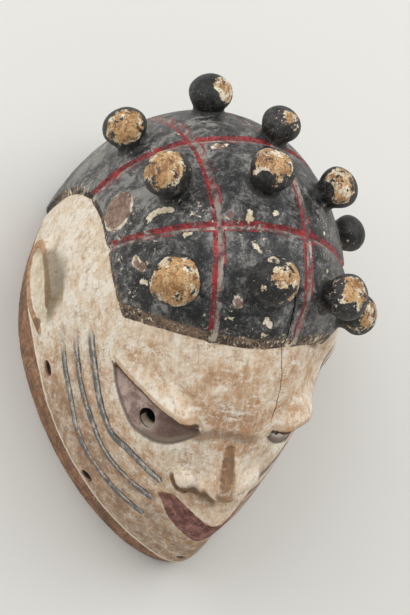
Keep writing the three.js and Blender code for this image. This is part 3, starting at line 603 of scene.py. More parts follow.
def surface_mesh(finest):
    cells, values, size = surface_cells(finest)
    signs = values < 0
    total = np.zeros((len(cells), 3))
    count = np.zeros(len(cells))
    for a in range(8):
        for bit in (4, 2, 1):
            if a & bit:
                continue
            b = a | bit
            cut = signs[:, a] != signs[:, b]
            t = values[cut, a] / (values[cut, a] - values[cut, b])
            total[cut] += CORNERS[a] + (CORNERS[b] - CORNERS[a]) * t[:, None]
            count[cut] += 1
    points = GRID_START + (cells + total / count[:, None]) * size
    keys = grid_key(cells)
    order = np.argsort(keys)
    sorted_keys = keys[order]
    quads = []
    for bit, axis in ((4, 0), (2, 1), (1, 2)):
        cut = signs[:, 0] != signs[:, bit]
        here = cells[cut]
        inward = signs[cut, 0]
        first, second = [np.eye(3, dtype=int)[(axis + k) % 3] for k in (1, 2)]
        ring = [here, here - first, here - first - second, here - second]
        found = []
        for corner in ring:
            place = np.searchsorted(sorted_keys, grid_key(corner)).clip(0, len(keys) - 1)
            good = sorted_keys[place] == grid_key(corner)
            found.append(np.where(good, order[place], -1))
        quad = np.stack(found, axis=1)
        quad = np.where(inward[:, None], quad, quad[:, ::-1])
        quads.append(quad[(quad >= 0).all(axis=1)])
    return points, np.concatenate(quads)


FINEST = 1.1
TRIANGLES_KEPT = 185000
points, quads = surface_mesh(FINEST)

block = bmesh.new()
rough_mesh = bpy.data.meshes.new("mask_block")
rough_mesh.from_pydata((points / 1000).tolist(), [], quads.tolist())
block.from_mesh(rough_mesh)
for _ in range(4):
    torn = [corner for corner in block.verts if not corner.is_manifold]
    if not torn:
        break
    bmesh.ops.delete(block, geom=torn, context="VERTS")
    open_edges = [edge for edge in block.edges if edge.is_boundary]
    bmesh.ops.holes_fill(block, edges=open_edges, sides=0)
block.to_mesh(rough_mesh)
block.free()
rough_block = bpy.data.objects.new("mask_block", rough_mesh)
bpy.context.scene.collection.objects.link(rough_block)
thinner = rough_block.modifiers.new("fewer_faces", "DECIMATE")
thinner.ratio = min(1.0, TRIANGLES_KEPT / (2 * len(quads)))
shown = rough_block.evaluated_get(bpy.context.evaluated_depsgraph_get())
mask_mesh = bpy.data.meshes.new_from_object(shown)
bpy.data.objects.remove(rough_block)
bpy.data.meshes.remove(rough_mesh)
mask = bpy.data.objects.new("carved_mask_surface", mask_mesh)
bpy.context.scene.collection.objects.link(mask)

# Pierced holes and the crack, cut right through or deep into the wall: the two pupils, the
# lashing holes of the costume along the rim, one hole at the chin, and the drying split that
# runs from the middle front tuft down to the inner corner of the left eye.
SIDE_HOLES = [
    ((92, -31, 52), (0.93, -0.30, 0.20), 3.8),
    ((62, -96, 35), (0.72, -0.66, 0.20), 3.1),
]
CHIN_HOLE = ((-1, -148, 38), (0.0, -1.0, 0.1), 3.0)
CRACK = [
    (21, -16, 208), (22, -26, 203), (23, -38, 197), (22, -45, 193), (23, -53, 187),
    (26, -64, 176), (26, -76, 165), (25, -87, 154), (23.5, -92, 149),
]
HOLE_STEPS = (-35, -24, -14, -9, -6, -4, -2.5, -1.25, 0, 1.25, 2.5, 4, 7, 21)
HOLE_SPLAY = 0.35
HOLE_SIDES = 24
CRACK_WIDTH = 2.3
CRACK_DEPTH = 9.0
SHARP_ANGLE = 55


def slimmed(place):
    x, y, z = [np.array([float(c)]) for c in place]
    moved = unslimmed(x, y, z)
    return tuple(2 * p - float(m[0]) for p, m in zip(place, moved))


def join_rings(cutter, rings):
    rings = [[cutter.verts.new(Vector(corner) / 1000) for corner in ring] for ring in rings]
    count = len(rings[0])
    for low, high in zip(rings[:-1], rings[1:]):
        for k in range(count):
            cutter.faces.new((low[k], low[(k + 1) % count], high[(k + 1) % count], high[k]))
    cutter.faces.new(reversed(rings[0]))
    cutter.faces.new(rings[-1])


def add_hole(cutter, centre, axis, radius, seed, splay=0.0):
    centre = Vector(centre)
    axis = Vector(axis).normalized()
    side = axis.orthogonal().normalized()
    other = axis.cross(side)
    rings = []
    for step, place in enumerate(HOLE_STEPS):
        ring = []
        reach = radius * (1 + splay * min(max(place + 2.5, 0), 5.5) / 2.5)
        for k in range(HOLE_SIDES):
            turn = 2 * math.pi * k / HOLE_SIDES
            wobble = 1 + 0.05 * math.sin(2 * turn + seed) + 0.03 * math.sin(3 * turn + step + seed)
            out = side * math.cos(turn) + other * math.sin(turn)
            ring.append(centre + axis * place + out * reach * wobble)
        rings.append(ring)
    join_rings(cutter, rings)


def add_crack(cutter):
    line = smooth_line(CRACK, 60)
    rings = []
    for i, place in enumerate(line):
        share = i / (len(line) - 1)
        run = unit(line[min(i + 1, len(line) - 1)] - line[max(i - 1, 0)])
        out = unit((place - (0, 60, 0)) / np.array([HALF_WIDTH, CHIN_REACH, HEAD_HEIGHT]) ** 2)
        across = unit(np.cross(run, out))
        width = CRACK_WIDTH * (0.35 + 0.65 * math.sin(math.pi * min(share * 2.2 + 0.12, 0.5)))
        width *= min(1.0, (1.03 - share) * 7) * (1 + 0.18 * math.sin(i * 1.3))
        middle = place + across * (0.25 * math.sin(i * 0.9) + 0.2 * math.sin(i * 2.3))
        depth = CRACK_DEPTH * min(1.0, (1.06 - share) * 5)
        rings.append([
            middle + across * width / 2 + out * 7,
            middle - across * width / 2 + out * 7,
            middle - across * width * 0.15 - out * depth,
            middle + across * width * 0.15 - out * depth,
        ])
    join_rings(cutter, rings)


cutter = bmesh.new()
pupil = EYE_CENTRE + EYE_ALONG * PUPIL[0] + EYE_UP * PUPIL[1]
left_pupil = slimmed(tuple(pupil + LEFT_EYE_SHIFT))
add_hole(cutter, left_pupil, EYE_OUT, PUPIL_RADIUS, 0.4)
add_hole(cutter, pupil * (-1, 1, 1), EYE_OUT * (-1, 1, 1), PUPIL_RADIUS, 2.1)
add_hole(cutter, *CHIN_HOLE, 3.0)
for centre, axis, radius in SIDE_HOLES:
    right_centre = np.array(centre) * (-1, 1, 1)
    right_axis = np.array(axis) * (-1, 1, 1)
    add_hole(cutter, slimmed(centre), axis, radius, centre[0] * 0.3, HOLE_SPLAY)
    add_hole(cutter, right_centre, right_axis, radius, centre[0] * 0.7, HOLE_SPLAY)
add_crack(cutter)
bmesh.ops.recalc_face_normals(cutter, faces=cutter.faces)
cutter_mesh = bpy.data.meshes.new("cutter")
cutter.to_mesh(cutter_mesh)
cutter.free()
cutter_block = bpy.data.objects.new("cutter", cutter_mesh)
bpy.context.scene.collection.objects.link(cutter_block)
cut = mask.modifiers.new("cut", "BOOLEAN")
cut.operation = "DIFFERENCE"
cut.solver = "MANIFOLD"
cut.object = cutter_block
whole_mesh = mask.data
mask_mesh = bpy.data.meshes.new_from_object(mask.evaluated_get(bpy.context.evaluated_depsgraph_get()))
mask.modifiers.remove(cut)
mask.data = mask_mesh
bpy.data.meshes.remove(whole_mesh)
bpy.data.objects.remove(cutter_block)
bpy.data.meshes.remove(cutter_mesh)
mask_mesh.name = "carved_mask_surface"
mask_mesh.polygons.foreach_set("use_smooth", [True] * len(mask_mesh.polygons))
mask_mesh.set_sharp_from_angle(angle=math.radians(SHARP_ANGLE))
mask_mesh.update()

# Places on the skin: distances in millimetres from the carved edges, kept on the mesh so that
# the paint can break up raggedly along them. Each paint below adds the distances it needs.
spots = np.empty(len(mask_mesh.vertices) * 3)
mask_mesh.vertices.foreach_get("co", spots)
spots = spots.reshape(-1, 3) * 1000
x, y, z = spots.T
ux, uy, uz = unslimmed(x, y, z)


def keep_field(name, values):
    field = mask_mesh.attributes.new(name, "FLOAT", "POINT")
    field.data.foreach_set("value", np.ascontiguousarray(values, np.float32))


def blob(x, y, z, centre, radius):
    return np.exp(-((x - centre[0]) ** 2 + (y - centre[1]) ** 2 + (z - centre[2]) ** 2) / radius ** 2)


cap = cap_inside(ux, uy, uz)
tuft_worn = np.full(len(x), -30.0)
tuft_near = np.full(len(x), 30.0)
for tuft, (toward, edge, islands) in zip(TUFTS, TUFT_WEAR):
    form = tuft_form(x, y, z, tuft)
    closer = form < tuft_near
    tuft_near = np.minimum(tuft_near, form)
    axis = unit(tuft[1])
    middle = np.array(tuft[0]) + axis * tuft[2]
    offset = spots - middle
    facing = offset @ unit(toward) / np.maximum(np.linalg.norm(offset, axis=1), 1)
    worn = (facing - edge) * tuft[3] + islands * unevenness(x, y, z, 7.0, 8)
    tuft_worn = np.where(closer & (form < 4), worn, tuft_worn)
on_tuft = tuft_near < 1.0
keep_field("cap", np.where(on_tuft, 30.0, cap))
keep_field("tuft_near", tuft_near)
keep_field("tuft_worn", tuft_worn)
hollow = hollow_form(x, y, z)
keep_field("inside", -hollow)
depth = skin_form(x, y, z)
keep_field("depth", np.where(on_tuft, 0, -depth))
PROUD_REACH = 2.2
around = np.zeros(len(x))
for direction in ((1, 0, 0), (-1, 0, 0), (0, 1, 0), (0, -1, 0), (0, 0, 1), (0, 0, -1)):
    around += mask_form(spots + np.array(direction) * PROUD_REACH)
keep_field("proud", np.clip((around / 6 - mask_form(spots)) / PROUD_REACH, -1, 1))

# Worn painted wood: bare wood, cream ground and paint lie over each other and are worn through,
# chalky white on the face, black on the hair, red in the partings, grey-blue in the scars.
# These are the steps that mix the layers, and the scuffs and scratches that they share.
material = bpy.data.materials.new("worn_painted_wood")
material.use_nodes = True
nodes = material.node_tree.nodes
links = material.node_tree.links
nodes.clear()
finish_out = nodes.new("ShaderNodeOutputMaterial")
surface = nodes.new("ShaderNodeBsdfPrincipled")
links.new(surface.outputs["BSDF"], finish_out.inputs["Surface"])
place = nodes.new("ShaderNodeTexCoord")


def colour(red, green, blue):
    parts = [c / 255 for c in (red, green, blue)]
    return tuple(c / 12.92 if c <= 0.04045 else ((c + 0.055) / 1.055) ** 2.4 for c in parts) + (1.0,)


def feed(socket, value):
    if isinstance(value, bpy.types.NodeSocket):
        links.new(value, socket)
    else:
        socket.default_value = value


def calc(kind, first, second=0.0):
    step = nodes.new("ShaderNodeMath")
    step.operation = kind
    feed(step.inputs[0], first)
    feed(step.inputs[1], second)
    return step.outputs[0]


def all_of(kind, values):
    total = values[0]
    for value in values[1:]:
        total = calc(kind, total, value)
    return total


def add(*values):
    return all_of("ADD", values)


def times(*values):
    return all_of("MULTIPLY", values)


def most(*values):
    return all_of("MAXIMUM", values)


def apart(first, second):
    return calc("ABSOLUTE", calc("SUBTRACT", first, second))


def fade(value, low, high):
    step = nodes.new("ShaderNodeMapRange")
    step.interpolation_type = "SMOOTHSTEP"
    feed(step.inputs["Value"], value)
    feed(step.inputs["From Min"], low)
    feed(step.inputs["From Max"], high)
    return step.outputs["Result"]


def layer(amount, under, over):
    step = nodes.new("ShaderNodeMix")
    step.data_type = "RGBA"
    feed(step.inputs["Factor"], amount)
    feed(step.inputs["A"], under)
    feed(step.inputs["B"], over)
    return step.outputs["Result"]


def field(name):
    step = nodes.new("ShaderNodeAttribute")
    step.attribute_name = name
    return step.outputs["Fac"]


def grain(size, detail=4.0, roughness=0.55, stretch=(1, 1, 1), turn=(0, 0, 0), shift=0.0, warp=0.0):
    spread = nodes.new("ShaderNodeMapping")
    spread.inputs["Scale"].default_value = stretch
    spread.inputs["Rotation"].default_value = [math.radians(angle) for angle in turn]
    spread.inputs["Location"].default_value = (shift, shift * 0.7, shift * 1.3)
    links.new(place.outputs["Object"], spread.inputs["Vector"])
    noise = nodes.new("ShaderNodeTexNoise")
    noise.inputs["Scale"].default_value = 1000.0 / size
    noise.inputs["Detail"].default_value = detail
    noise.inputs["Roughness"].default_value = roughness
    noise.inputs["Distortion"].default_value = warp
    links.new(spread.outputs["Vector"], noise.inputs["Vector"])
    return noise.outputs["Fac"]


def hairlines(size, length, width, turns, shift):
    total = None
    for number, turn in enumerate(turns):
        noise = grain(size, 0.0, 0.5, (1, 1, 1 / length), turn, shift + number)
        line = fade(apart(noise, 0.5), width, width * 0.3)
        total = line if total is None else most(total, line)
    return total


def around_zero(value):
    return calc("SUBTRACT", value, 0.5)


ragged = around_zero(grain(6.0, 8.0, 0.72))
ragged_fine = around_zero(grain(1.8, 5.0, 0.68, shift=3.0))
slow = around_zero(grain(32.0, 3.0, 0.5, shift=11.0))
mottle = grain(9.0, 10.0, 0.74, shift=2.0)
fine = grain(1.6, 5.0, 0.68, shift=6.0)
fibres = grain(2.2, 6.0, 0.65, (1.0, 1.0, 0.1), shift=5.0)
brush = grain(3.2, 9.0, 0.72, (1.0, 0.22, 0.3), (25, 10, 0), shift=8.0)
scuffs = grain(12.0, 12.0, 0.78, shift=7.0, warp=0.5)
turns = ((20, 35, 0), (65, -20, 30), (110, 10, 80))
cross_turns = ((150, 50, 130), (80, 70, 60), (10, -60, 20))
proud = field("proud")
scratches = hairlines(5.0, 16.0, 0.012, turns, 20.0)
cross_scratches = hairlines(4.0, 14.0, 0.014, cross_turns, 30.0)


def frayed(name, broad, small=0.0):
    return add(field(name), times(ragged, broad), times(ragged_fine, small))


def mottled(dark, light, low=0.42, high=0.58):
    return layer(fade(mottle, low, high), colour(*dark), colour(*light))


# Bare carved wood and its ground: the block is a light wood, brown where hands have polished it
# and ochre where the paint has only lately worn off. Under the paint lies a thin cream ground.
wood = mottled((118, 88, 68), (160, 126, 100), 0.40, 0.60)
wood = layer(times(fade(fibres, 0.52, 0.66), 0.5), wood, colour(92, 68, 52))
ochre = mottled((142, 100, 60), (202, 160, 108), 0.40, 0.60)
ochre = layer(times(fade(brush, 0.50, 0.60), 0.6), ochre, colour(216, 186, 144))
ochre = layer(times(cross_scratches, 0.7), ochre, colour(88, 62, 42))
ochre = layer(fade(fine, 0.60, 0.64), ochre, colour(72, 54, 40))
ground = mottled((198, 180, 150), (232, 222, 200), 0.38, 0.60)
ground = layer(times(fade(fine, 0.57, 0.62), 0.6), ground, colour(160, 132, 98))

# Face paint: chalky white brushed over the ground, now rubbed thin over ochre, dragged and
# scratched. A grey-brown darkening lies in it and gets thicker down the cheeks and chin, partly dirt and
# partly painted shade.
along, up, out = eye_place(ux, uy, uz)
lid_top = smooth_along(along, LID_ALONG, LID_LINE)
lid_low = smooth_along(along, LOWER_ALONG, LOWER_LINE)
painted_low = lid_low + np.where(x > 0, 5 * ease(0, 20, along), 0)
opening = np.minimum(np.minimum(lid_top - up, up - painted_low), EYE_HALF_LENGTH - np.abs(along))
opening = np.where(np.abs(out) < 30, opening, -40)
# Paleness by place, partly painted light and shade: whiter on the upper sides, round the eyes and on the nose
# wings and tip, duller on the lower face, in a smudge on the forehead and in a patch on the right cheek.
paleness_and_light = 0.08 * ease(-40, 0, uy) * ease(40, 70, np.abs(ux)) - 0.075 * ease(95, 55, uz) * ease(0, -60, uy)
paleness_and_light = paleness_and_light - 0.11 * blob(ux, uy, uz, (0, -92, 162), 30) - 0.05 * blob(ux, uy, uz, (-64, -78, 96), 24)
paleness_and_light = paleness_and_light + 0.08 * ease(2, 10, opening + 14) * (opening < 0)
paleness_and_light = paleness_and_light + 0.09 * blob(np.abs(ux), uy, uz, (19, -112, 130), 9)
paleness_and_light = paleness_and_light + 0.06 * blob(ux, uy, uz, (8, -112, 128), 14)
# On the cap the same field holds painted sheen: more toward the back and on the right side, less at the
# front.
cap_sheen_bias = 0.03 * ease(-10, 60, uy) * ease(20, 60, -ux)
cap_sheen_bias = cap_sheen_bias - 0.03 * ease(-10, -40, uy) + 0.02 * ease(60, 120, uy)
keep_field("paleness_and_light", np.where(cap > 0, cap_sheen_bias, paleness_and_light + 0.012))
keep_field("grime_and_shade", ease(104, 60, uz) * ease(-15, -70, uy))

chalk_cover = add(times(grain(19.0, 12.0, 0.76, shift=1.0, warp=0.5), 0.8), times(brush, 0.2), field("paleness_and_light"))
skin = layer(fade(chalk_cover, 0.38, 0.50), colour(188, 148, 112), colour(212, 182, 150))
skin = layer(fade(chalk_cover, 0.46, 0.55), skin, colour(224, 205, 180))
skin = layer(fade(chalk_cover, 0.55, 0.62), skin, colour(238, 227, 210))
ochre_wear = add(times(scuffs, 0.75), times(brush, 0.25), times(field("paleness_and_light"), -0.7), times(proud, 0.25))
skin = layer(times(fade(ochre_wear, 0.545, 0.60), 0.6), skin, colour(196, 142, 98))
dirt = times(grain(15.0, 11.0, 0.78, shift=9.0, warp=0.8), 0.8)
dirt = add(dirt, times(fine, 0.2), times(field("paleness_and_light"), -0.8))
skin = layer(times(fade(dirt, 0.55, 0.62), 0.5), skin, colour(144, 124, 106))
streaks = times(fade(brush, 0.53, 0.60), fade(mottle, 0.42, 0.55))
skin = layer(times(streaks, 0.5), skin, colour(240, 230, 214))
strokes = grain(4.2, 10.0, 0.76, (0.3, 1.0, 0.8), (0, 12, 20), shift=14.0)
pale_stroke = times(fade(strokes, 0.53, 0.575), fade(scuffs, 0.42, 0.52))
skin = layer(times(pale_stroke, 0.75), skin, colour(243, 234, 220))
brown_stroke = times(fade(strokes, 0.455, 0.42), fade(scuffs, 0.46, 0.56))
skin = layer(times(brown_stroke, 0.5), skin, colour(150, 116, 86))
skin = layer(times(scratches, fade(mottle, 0.46, 0.58), 0.55), skin, colour(242, 233, 220))
dark_scratch = times(cross_scratches, fade(scuffs, 0.44, 0.56))
skin = layer(times(dark_scratch, 0.35), skin, colour(140, 106, 80))
pores = grain(2.6, 8.0, 0.8, (1.0, 0.4, 0.5), (25, 10, 0), shift=17.0)
skin = layer(times(fade(pores, 0.54, 0.60), 0.45), skin, colour(160, 124, 92))
skin = layer(times(fade(pores, 0.45, 0.40), 0.5), skin, colour(244, 236, 222))
specks = fade(add(grain(2.0, 2.0, 0.5, shift=12.0), times(slow, 0.25)), 0.735, 0.76)
skin = layer(times(specks, 0.8), skin, colour(70, 56, 46))
# Darker toward the chin: partly grey-brown dirt, partly painted shade on the lower face.
grime_and_shade = times(field("grime_and_shade"), fade(scuffs, 0.36, 0.58))
paint = layer(times(grime_and_shade, 0.55), skin, colour(120, 101, 86))

# Scar paint: grey-blue brushed into the three cuts of each cheek and rubbed off their edges to
# ochre. A dark line of painted shade runs along the upper side of each cut and a pale line of painted
# highlight along its middle.
scar_gap, scar_height = scar_place(ux, uy, uz)
keep_field("scar", scar_gap)
keep_field("scar_paint", ease(-20, -30, uy))
keep_field("scar_height", scar_height)

scar = frayed("scar", 3.4, 1.4)
scar_grey = mottled((82, 89, 94), (138, 138, 135))
scar_grey = layer(times(fade(brush, 0.52, 0.58), 0.6), scar_grey, colour(190, 182, 168))
between = fade(field("scar"), 8.5, 5.0)
paint = layer(times(between, fade(scuffs, 0.44, 0.56), 0.55), paint, colour(166, 122, 84))
scar_strength = most(times(field("scar_paint"), 0.9), 0.25)
rubbed_off = fade(scuffs, 0.60, 0.52)
paint = layer(times(fade(scar, 4.3, 3.0), scar_strength, most(rubbed_off, 0.35)), paint, scar_grey)
across = frayed("scar_height", 4.2, 1.4)


def scar_line(middle, width, noise, strength):
    near = fade(apart(across, middle), width, width * 0.35)
    within = times(fade(scar, 4.2, 3.2), field("scar_paint"))
    return times(near, within, noise, strength)


# Painted shade: a dark line along the upper side of each cut.
paint = layer(scar_line(2.0, 1.1, fade(scuffs, 0.60, 0.50), 0.9), paint, colour(54, 56, 60))
highlight_kept = times(fade(fine, 0.44, 0.50), fade(scuffs, 0.44, 0.50))
# Painted highlight: a pale line along the middle of each cut.
paint = layer(scar_line(-0.3, 0.9, highlight_kept, 0.85), paint, colour(226, 218, 204))
paint = layer(scar_line(-2.4, 0.8, fade(mottle, 0.46, 0.54), 0.8), paint, colour(74, 72, 70))

# Eye paint: thin mauve-grey inside a drawn dark edge, with brown painted shade under the lid and in the
# inner corner. The lid is worn to wood along its lower edge, above a dark line of painted shade at the edge
# itself, and more paint is left in the left eye's corner.
keep_field("left_side", ease(0, 10, x) * ease(2, 16, along))
keep_field("eye", opening)
keep_field("eye_along", along)
pupil_along = along - PUPIL[0]
pupil_up = up - PUPIL[1]
in_pupil = (np.hypot(pupil_along, pupil_up) < PUPIL_RADIUS + 1.2) & (np.abs(out) < 40) & (-depth > 0.35)
keep_field("pupil_wall", np.where(in_pupil, 0.45 * pupil_along - 0.9 * pupil_up, -40))
keep_field("lid", np.where((np.abs(out) < 30) & (np.abs(along) < 37), up - lid_top, -40))

eye = frayed("eye", 1.4, 0.5)
mauve = mottled((140, 116, 108), (190, 166, 154))
mauve = layer(times(streaks, 0.5), mauve, colour(206, 190, 178))
# Painted shade in dark brown toward the inner corner, under the lid.
inner_corner_shade = fade(frayed("eye_along", 6.0), 5.0, 13.0)
mauve = layer(times(inner_corner_shade, 0.8), mauve, colour(96, 72, 62))
mauve = layer(times(field("left_side"), 0.85), mauve, colour(206, 198, 188))
mauve = layer(times(fade(eye, 6.5, 3.5), fade(field("eye_along"), -4, 8)), mauve, colour(136, 118, 104))
paint = layer(fade(eye, 0.0, 0.5), paint, mauve)
drawn_edge = times(fade(eye, -1.3, -0.5), fade(eye, 2.4, 1.2))
# Painted shade in brown just under the lid's edge.
under_lid_shade = fade(frayed("lid", 3.0), -9.0, -3.5)
under_lid_shade = times(under_lid_shade, fade(field("eye_along"), -12.0, 6.0))
paint = layer(times(under_lid_shade, fade(eye, 0.0, 0.5), 0.7), paint, colour(80, 60, 50))
paint = layer(times(drawn_edge, 0.7), paint, colour(104, 94, 86))
lid = frayed("lid", 2.2, 0.8)
corners = fade(calc("ABSOLUTE", field("eye_along")), 34.5, 31.5)
# Painted shade: a dark brown line along the lid's lower edge, standing for its shaded underside.
lid_edge_shade = times(fade(field("lid"), -3.0, -2.0), fade(lid, 3.2, 2.4), corners)
on_lid = fade(field("eye"), -9.0, -6.0)
paint = layer(times(lid_edge_shade, on_lid, 0.95), paint, colour(80, 54, 36))
lid_rub = times(fade(lid, 2.4, 3.2), fade(lid, 6.2, 4.2))
paint = layer(times(lid_rub, on_lid, 0.6), paint, colour(178, 134, 90))

# Mouth and nose paint: a dull purple lower lip. The face paint runs over the nose and upper
# lip and is worn to brown wood wherever an edge stands proud: ridge, tip, wings and lip line. Painted shade
# lies on the upper lip under the nose, by the right nostril and across the root of the nose, and darkens the
# wings' lower edges.
line, foot = lip_place(ux, uz)
lower_lip = np.minimum(np.minimum(line - uz, uz - foot), (32.5 - np.abs(ux)) * 0.8)
keep_field("lower_lip", np.where(uy < -90, lower_lip, -40))
keep_field("lip_line", np.where((uy < -90) & (np.abs(ux) < 32), uz - line, 40))
keep_field("nose", rod(np.abs(ux), uy, uz, (0, -92, 150), (0, -127, 137), 2.0, 4.2))
keep_field("nose_tip", rod(x, y, z, (0, -130, 130), (-2, -98, 148), 5.4, 2.0))
root_line = [(-23, -91, 148), (-12, -90, 154.5), (-2.5, -91, 154.5), (11, -92, 151), (22, -89, 143)]
keep_field("nose_root", bent_line_place(ux, uy, uz, np.array(root_line))[0])
keep_field("septum_shadow", rod(ux, uy, uz, (-9, -121, 117), (-3, -126, 116), 0, 0))
keep_field("wing", rod(np.abs(ux), uy, uz, *NOSE_WING))
under_wing = NOSE_UNDERSIDE + NOSE_UNDERSIDE_SLOPE * np.abs(ux) - uz
under_wing = under_wing - 0.9 * np.maximum(np.abs(ux) - 18, 0) - 0.5 * np.maximum(ux - 5, 0)
keep_field("nose_under", np.where((uy < -95) & (np.abs(ux) < 32), under_wing, -40))

lip = frayed("lower_lip", 2.0, 0.8)
lip_paint = mottled((104, 62, 56), (156, 108, 98))
lip_paint = layer(fade(fine, 0.58, 0.63), lip_paint, colour(74, 44, 42))
lip_paint = layer(times(scratches, 0.4), lip_paint, colour(190, 150, 138))
paint = layer(fade(lip, -0.1, 0.5), paint, lip_paint)
lip_edge = fade(calc("ABSOLUTE", frayed("lip_line", 0.0, 0.8)), 1.1, 0.6)
paint = layer(times(lip_edge, 0.85), paint, colour(118, 84, 58))
# Brown along the lower edges of the nose wings: partly worn wood, partly painted shade.
under_nose_wear_and_shade = fade(frayed("nose_under", 4.0), -10.5, -7.0)
under_nose_wear_and_shade = times(under_nose_wear_and_shade, fade(field("nose_under"), 2.6, 1.6))
under_nose_wear_and_shade = times(under_nose_wear_and_shade, fade(field("wing"), 3.0, 1.5))
# Painted shadow of the nose on the upper lip below its underside.
nose_shade = fade(frayed("nose_under", 5.0), 9.0, 2.0)
nose_shade = times(fade(field("nose_under"), -0.5, 1.0), nose_shade)
paint = layer(times(nose_shade, 0.22), paint, colour(150, 116, 86))
nose_edge_wood_and_shade = mottled((72, 48, 30), (122, 86, 54))
paint = layer(times(under_nose_wear_and_shade, 0.92), paint, nose_edge_wood_and_shade)
# Painted shadow in dark brown under the nose by the right nostril.
septum_shadow = fade(frayed("septum_shadow", 4.0), 4.2, 1.2)
paint = layer(times(septum_shadow, 0.65), paint, colour(96, 72, 52))
nose_wear = frayed("nose", 4.5, 2.0)
nose_wear = times(fade(nose_wear, 1.2, -1.2), fade(scuffs, 0.42, 0.52), 0.65)
paint = layer(nose_wear, paint, colour(172, 134, 96))
# Painted shade across the root of the nose, between the eyes.
root_shade = fade(frayed("nose_root", 6.0), 5.5, 1.5)
paint = layer(times(root_shade, 0.65), paint, colour(130, 104, 82))
tip_wear = fade(frayed("nose_tip", 5.0, 2.0), 1.8, 0.0)
tip_wood = layer(fade(scuffs, 0.42, 0.60), colour(98, 66, 40), colour(162, 122, 86))
paint = layer(times(tip_wear, 0.85), paint, tip_wood)

# Ear paint: the helix is worn to brown wood and the dish keeps its cream ground. The hollow
# in front is darkened with painted shade, and the lobe has one worn brown spot.
ear_gap, _, ear_inside, _ = ear_place(uy, uz)
on_side = (np.abs(ux) > EAR_SIDE_X) & (hollow > 4)
keep_field("helix", np.where(on_side, ear_gap, 40))
keep_field("dish", np.where(on_side & ear_inside, ear_gap, -1))
scoop_line = np.array([(0, 36, 80), (0, 27, 86), (0, 20, 88), (0, 13, 86), (0, 7, 81), (0, 1, 75)])
scoop_z = np.where(uz > 82, 82 + (uz - 82) * 0.45, uz)
scoop, _ = bent_line_place(0 * uy, uy, scoop_z, scoop_line * (1, 1, 0.96))
keep_field("scoop", np.where(on_side & ~ear_inside, scoop, 40))
keep_field("lobe", blob(np.abs(ux), uy, uz, (100.7, -3.5, 55), 6.0))

helix = frayed("helix", 2.8, 1.0)
helix_wood = mottled((134, 94, 58), (190, 146, 100))
paint = layer(times(fade(helix, 3.4, 2.6), 0.85), paint, helix_wood)
paint = layer(times(fade(field("dish"), 3.4, 4.6), 0.7), paint, ground)
# Painted shade in the hollow in front of the ear.
hollow_shade = fade(frayed("scoop", 3.0), 10.0, 1.0)
paint = layer(times(hollow_shade, 0.75), paint, colour(124, 110, 86))
lobe_wear = fade(frayed("lobe", 0.7), 0.50, 0.60)
paint = layer(times(lobe_wear, 0.85), paint, colour(130, 98, 70))

# Rim band: reddish wood left unpainted from the ridge down to the rim, scuffed and nicked. The
# face paint ends on the ridge, with a painted highlight in pale cream along it.
level = ridge_level(uy)
keep_field("band", np.where((level < 1) | on_tuft, -20, level - uz))

band = frayed("band", 3.0, 1.2)
band_wood = mottled((124, 88, 64), (170, 126, 94), 0.40, 0.60)
band_wood = layer(times(fade(slow, 0.0, 0.16), 0.6), band_wood, colour(104, 78, 60))
band_wood = layer(times(scratches, 0.6), band_wood, colour(190, 158, 130))
band_wood = layer(times(cross_scratches, 0.5), band_wood, colour(84, 62, 48))
band_wood = layer(fade(fine, 0.62, 0.66), band_wood, colour(78, 58, 46))
# Painted highlight: a pale cream line along the ridge.
ridge_highlight = times(fade(band, -2.6, -1.6), fade(band, 0.4, -0.1))
paint = layer(times(ridge_highlight, 0.75), paint, colour(238, 226, 208))
paint = layer(fade(band, -0.1, 0.3), paint, band_wood)

# Cap paint: black brushed over the ground, rubbed grey all over with painted sheen in the grey, and covered
# in fine scratches.
# It is chipped to the cream ground in places, and a few spots are bare brown wood. Each chip or
# bare spot is a short stroke, given by its start, its end and its radius in millimetres.
CHIPS = [
    ((-59, 32, 177), (-55, 36, 181), 1.9),
    ((-55, 36, 181), (-48, 35, 190), 1.7),
    ((-7.7, 24.5, 213.3), (-7.7, 29, 213), 1.7),
    ((-6.2, 9.6, 214.4), (-2.1, 5.6, 214.6), 1.3),
    ((7.9, 29.4, 212.7), (8.4, 31, 212.5), 1.3),
    ((-61.5, -4, 173), (-60.5, -6, 174.5), 1.7),
    ((-76, 30, 139), (-75.5, 24, 141.5), 2.2),
    ((1.9, -32.3, 205.1), (6.3, -35.6, 202.7), 1.5),
    ((-4.3, -38.8, 201.4), (-3.6, -39, 201.2), 1.2),
    ((2.1, -41.2, 200.2), (5.7, -39.8, 200.5), 1.0),
    ((-43.1, 17.2, 197.3), (-39.7, 18.1, 200.1), 1.2),
    ((-34.9, 92, 162.6), (-34, 92.6, 163), 1.1),
    ((-23.9, 109.5, 146.1), (-22, 109.5, 146.5), 1.6),
    ((45.1, 25.7, 194.5), (45.6, 26.6, 194), 1.1),
    ((46.6, 3.6, 193.6), (47, 2.4, 193.2), 1.1),
    ((-14.3, 77.7, 188.6), (-13.4, 78.6, 188.2), 1.6),
]
BARE_SPOTS = [
    ((-65.3, 8.2, 169.9), (-62.2, 2.9, 174.0), 2.6),
    ((-19, 76.9, 187.8), (-16.4, 76.9, 188.5), 2.7),
    ((-40.4, 111.5, 126), (-38.8, 112.4, 126.6), 2.2),
    ((-14.2, -24.1, 206.6), (-14, -22.6, 207), 2.4),
    ((-19, 28, 210.4), (-18.8, 26.8, 210.6), 1.6),
]

for name, places in (("chip", CHIPS), ("bare", BARE_SPOTS)):
    gap = np.full(len(x), 40.0)
    for start, end, radius in places:
        gap = np.minimum(gap, rod(x, y, z, start, end, radius, radius * 0.8))
    keep_field(name, gap)

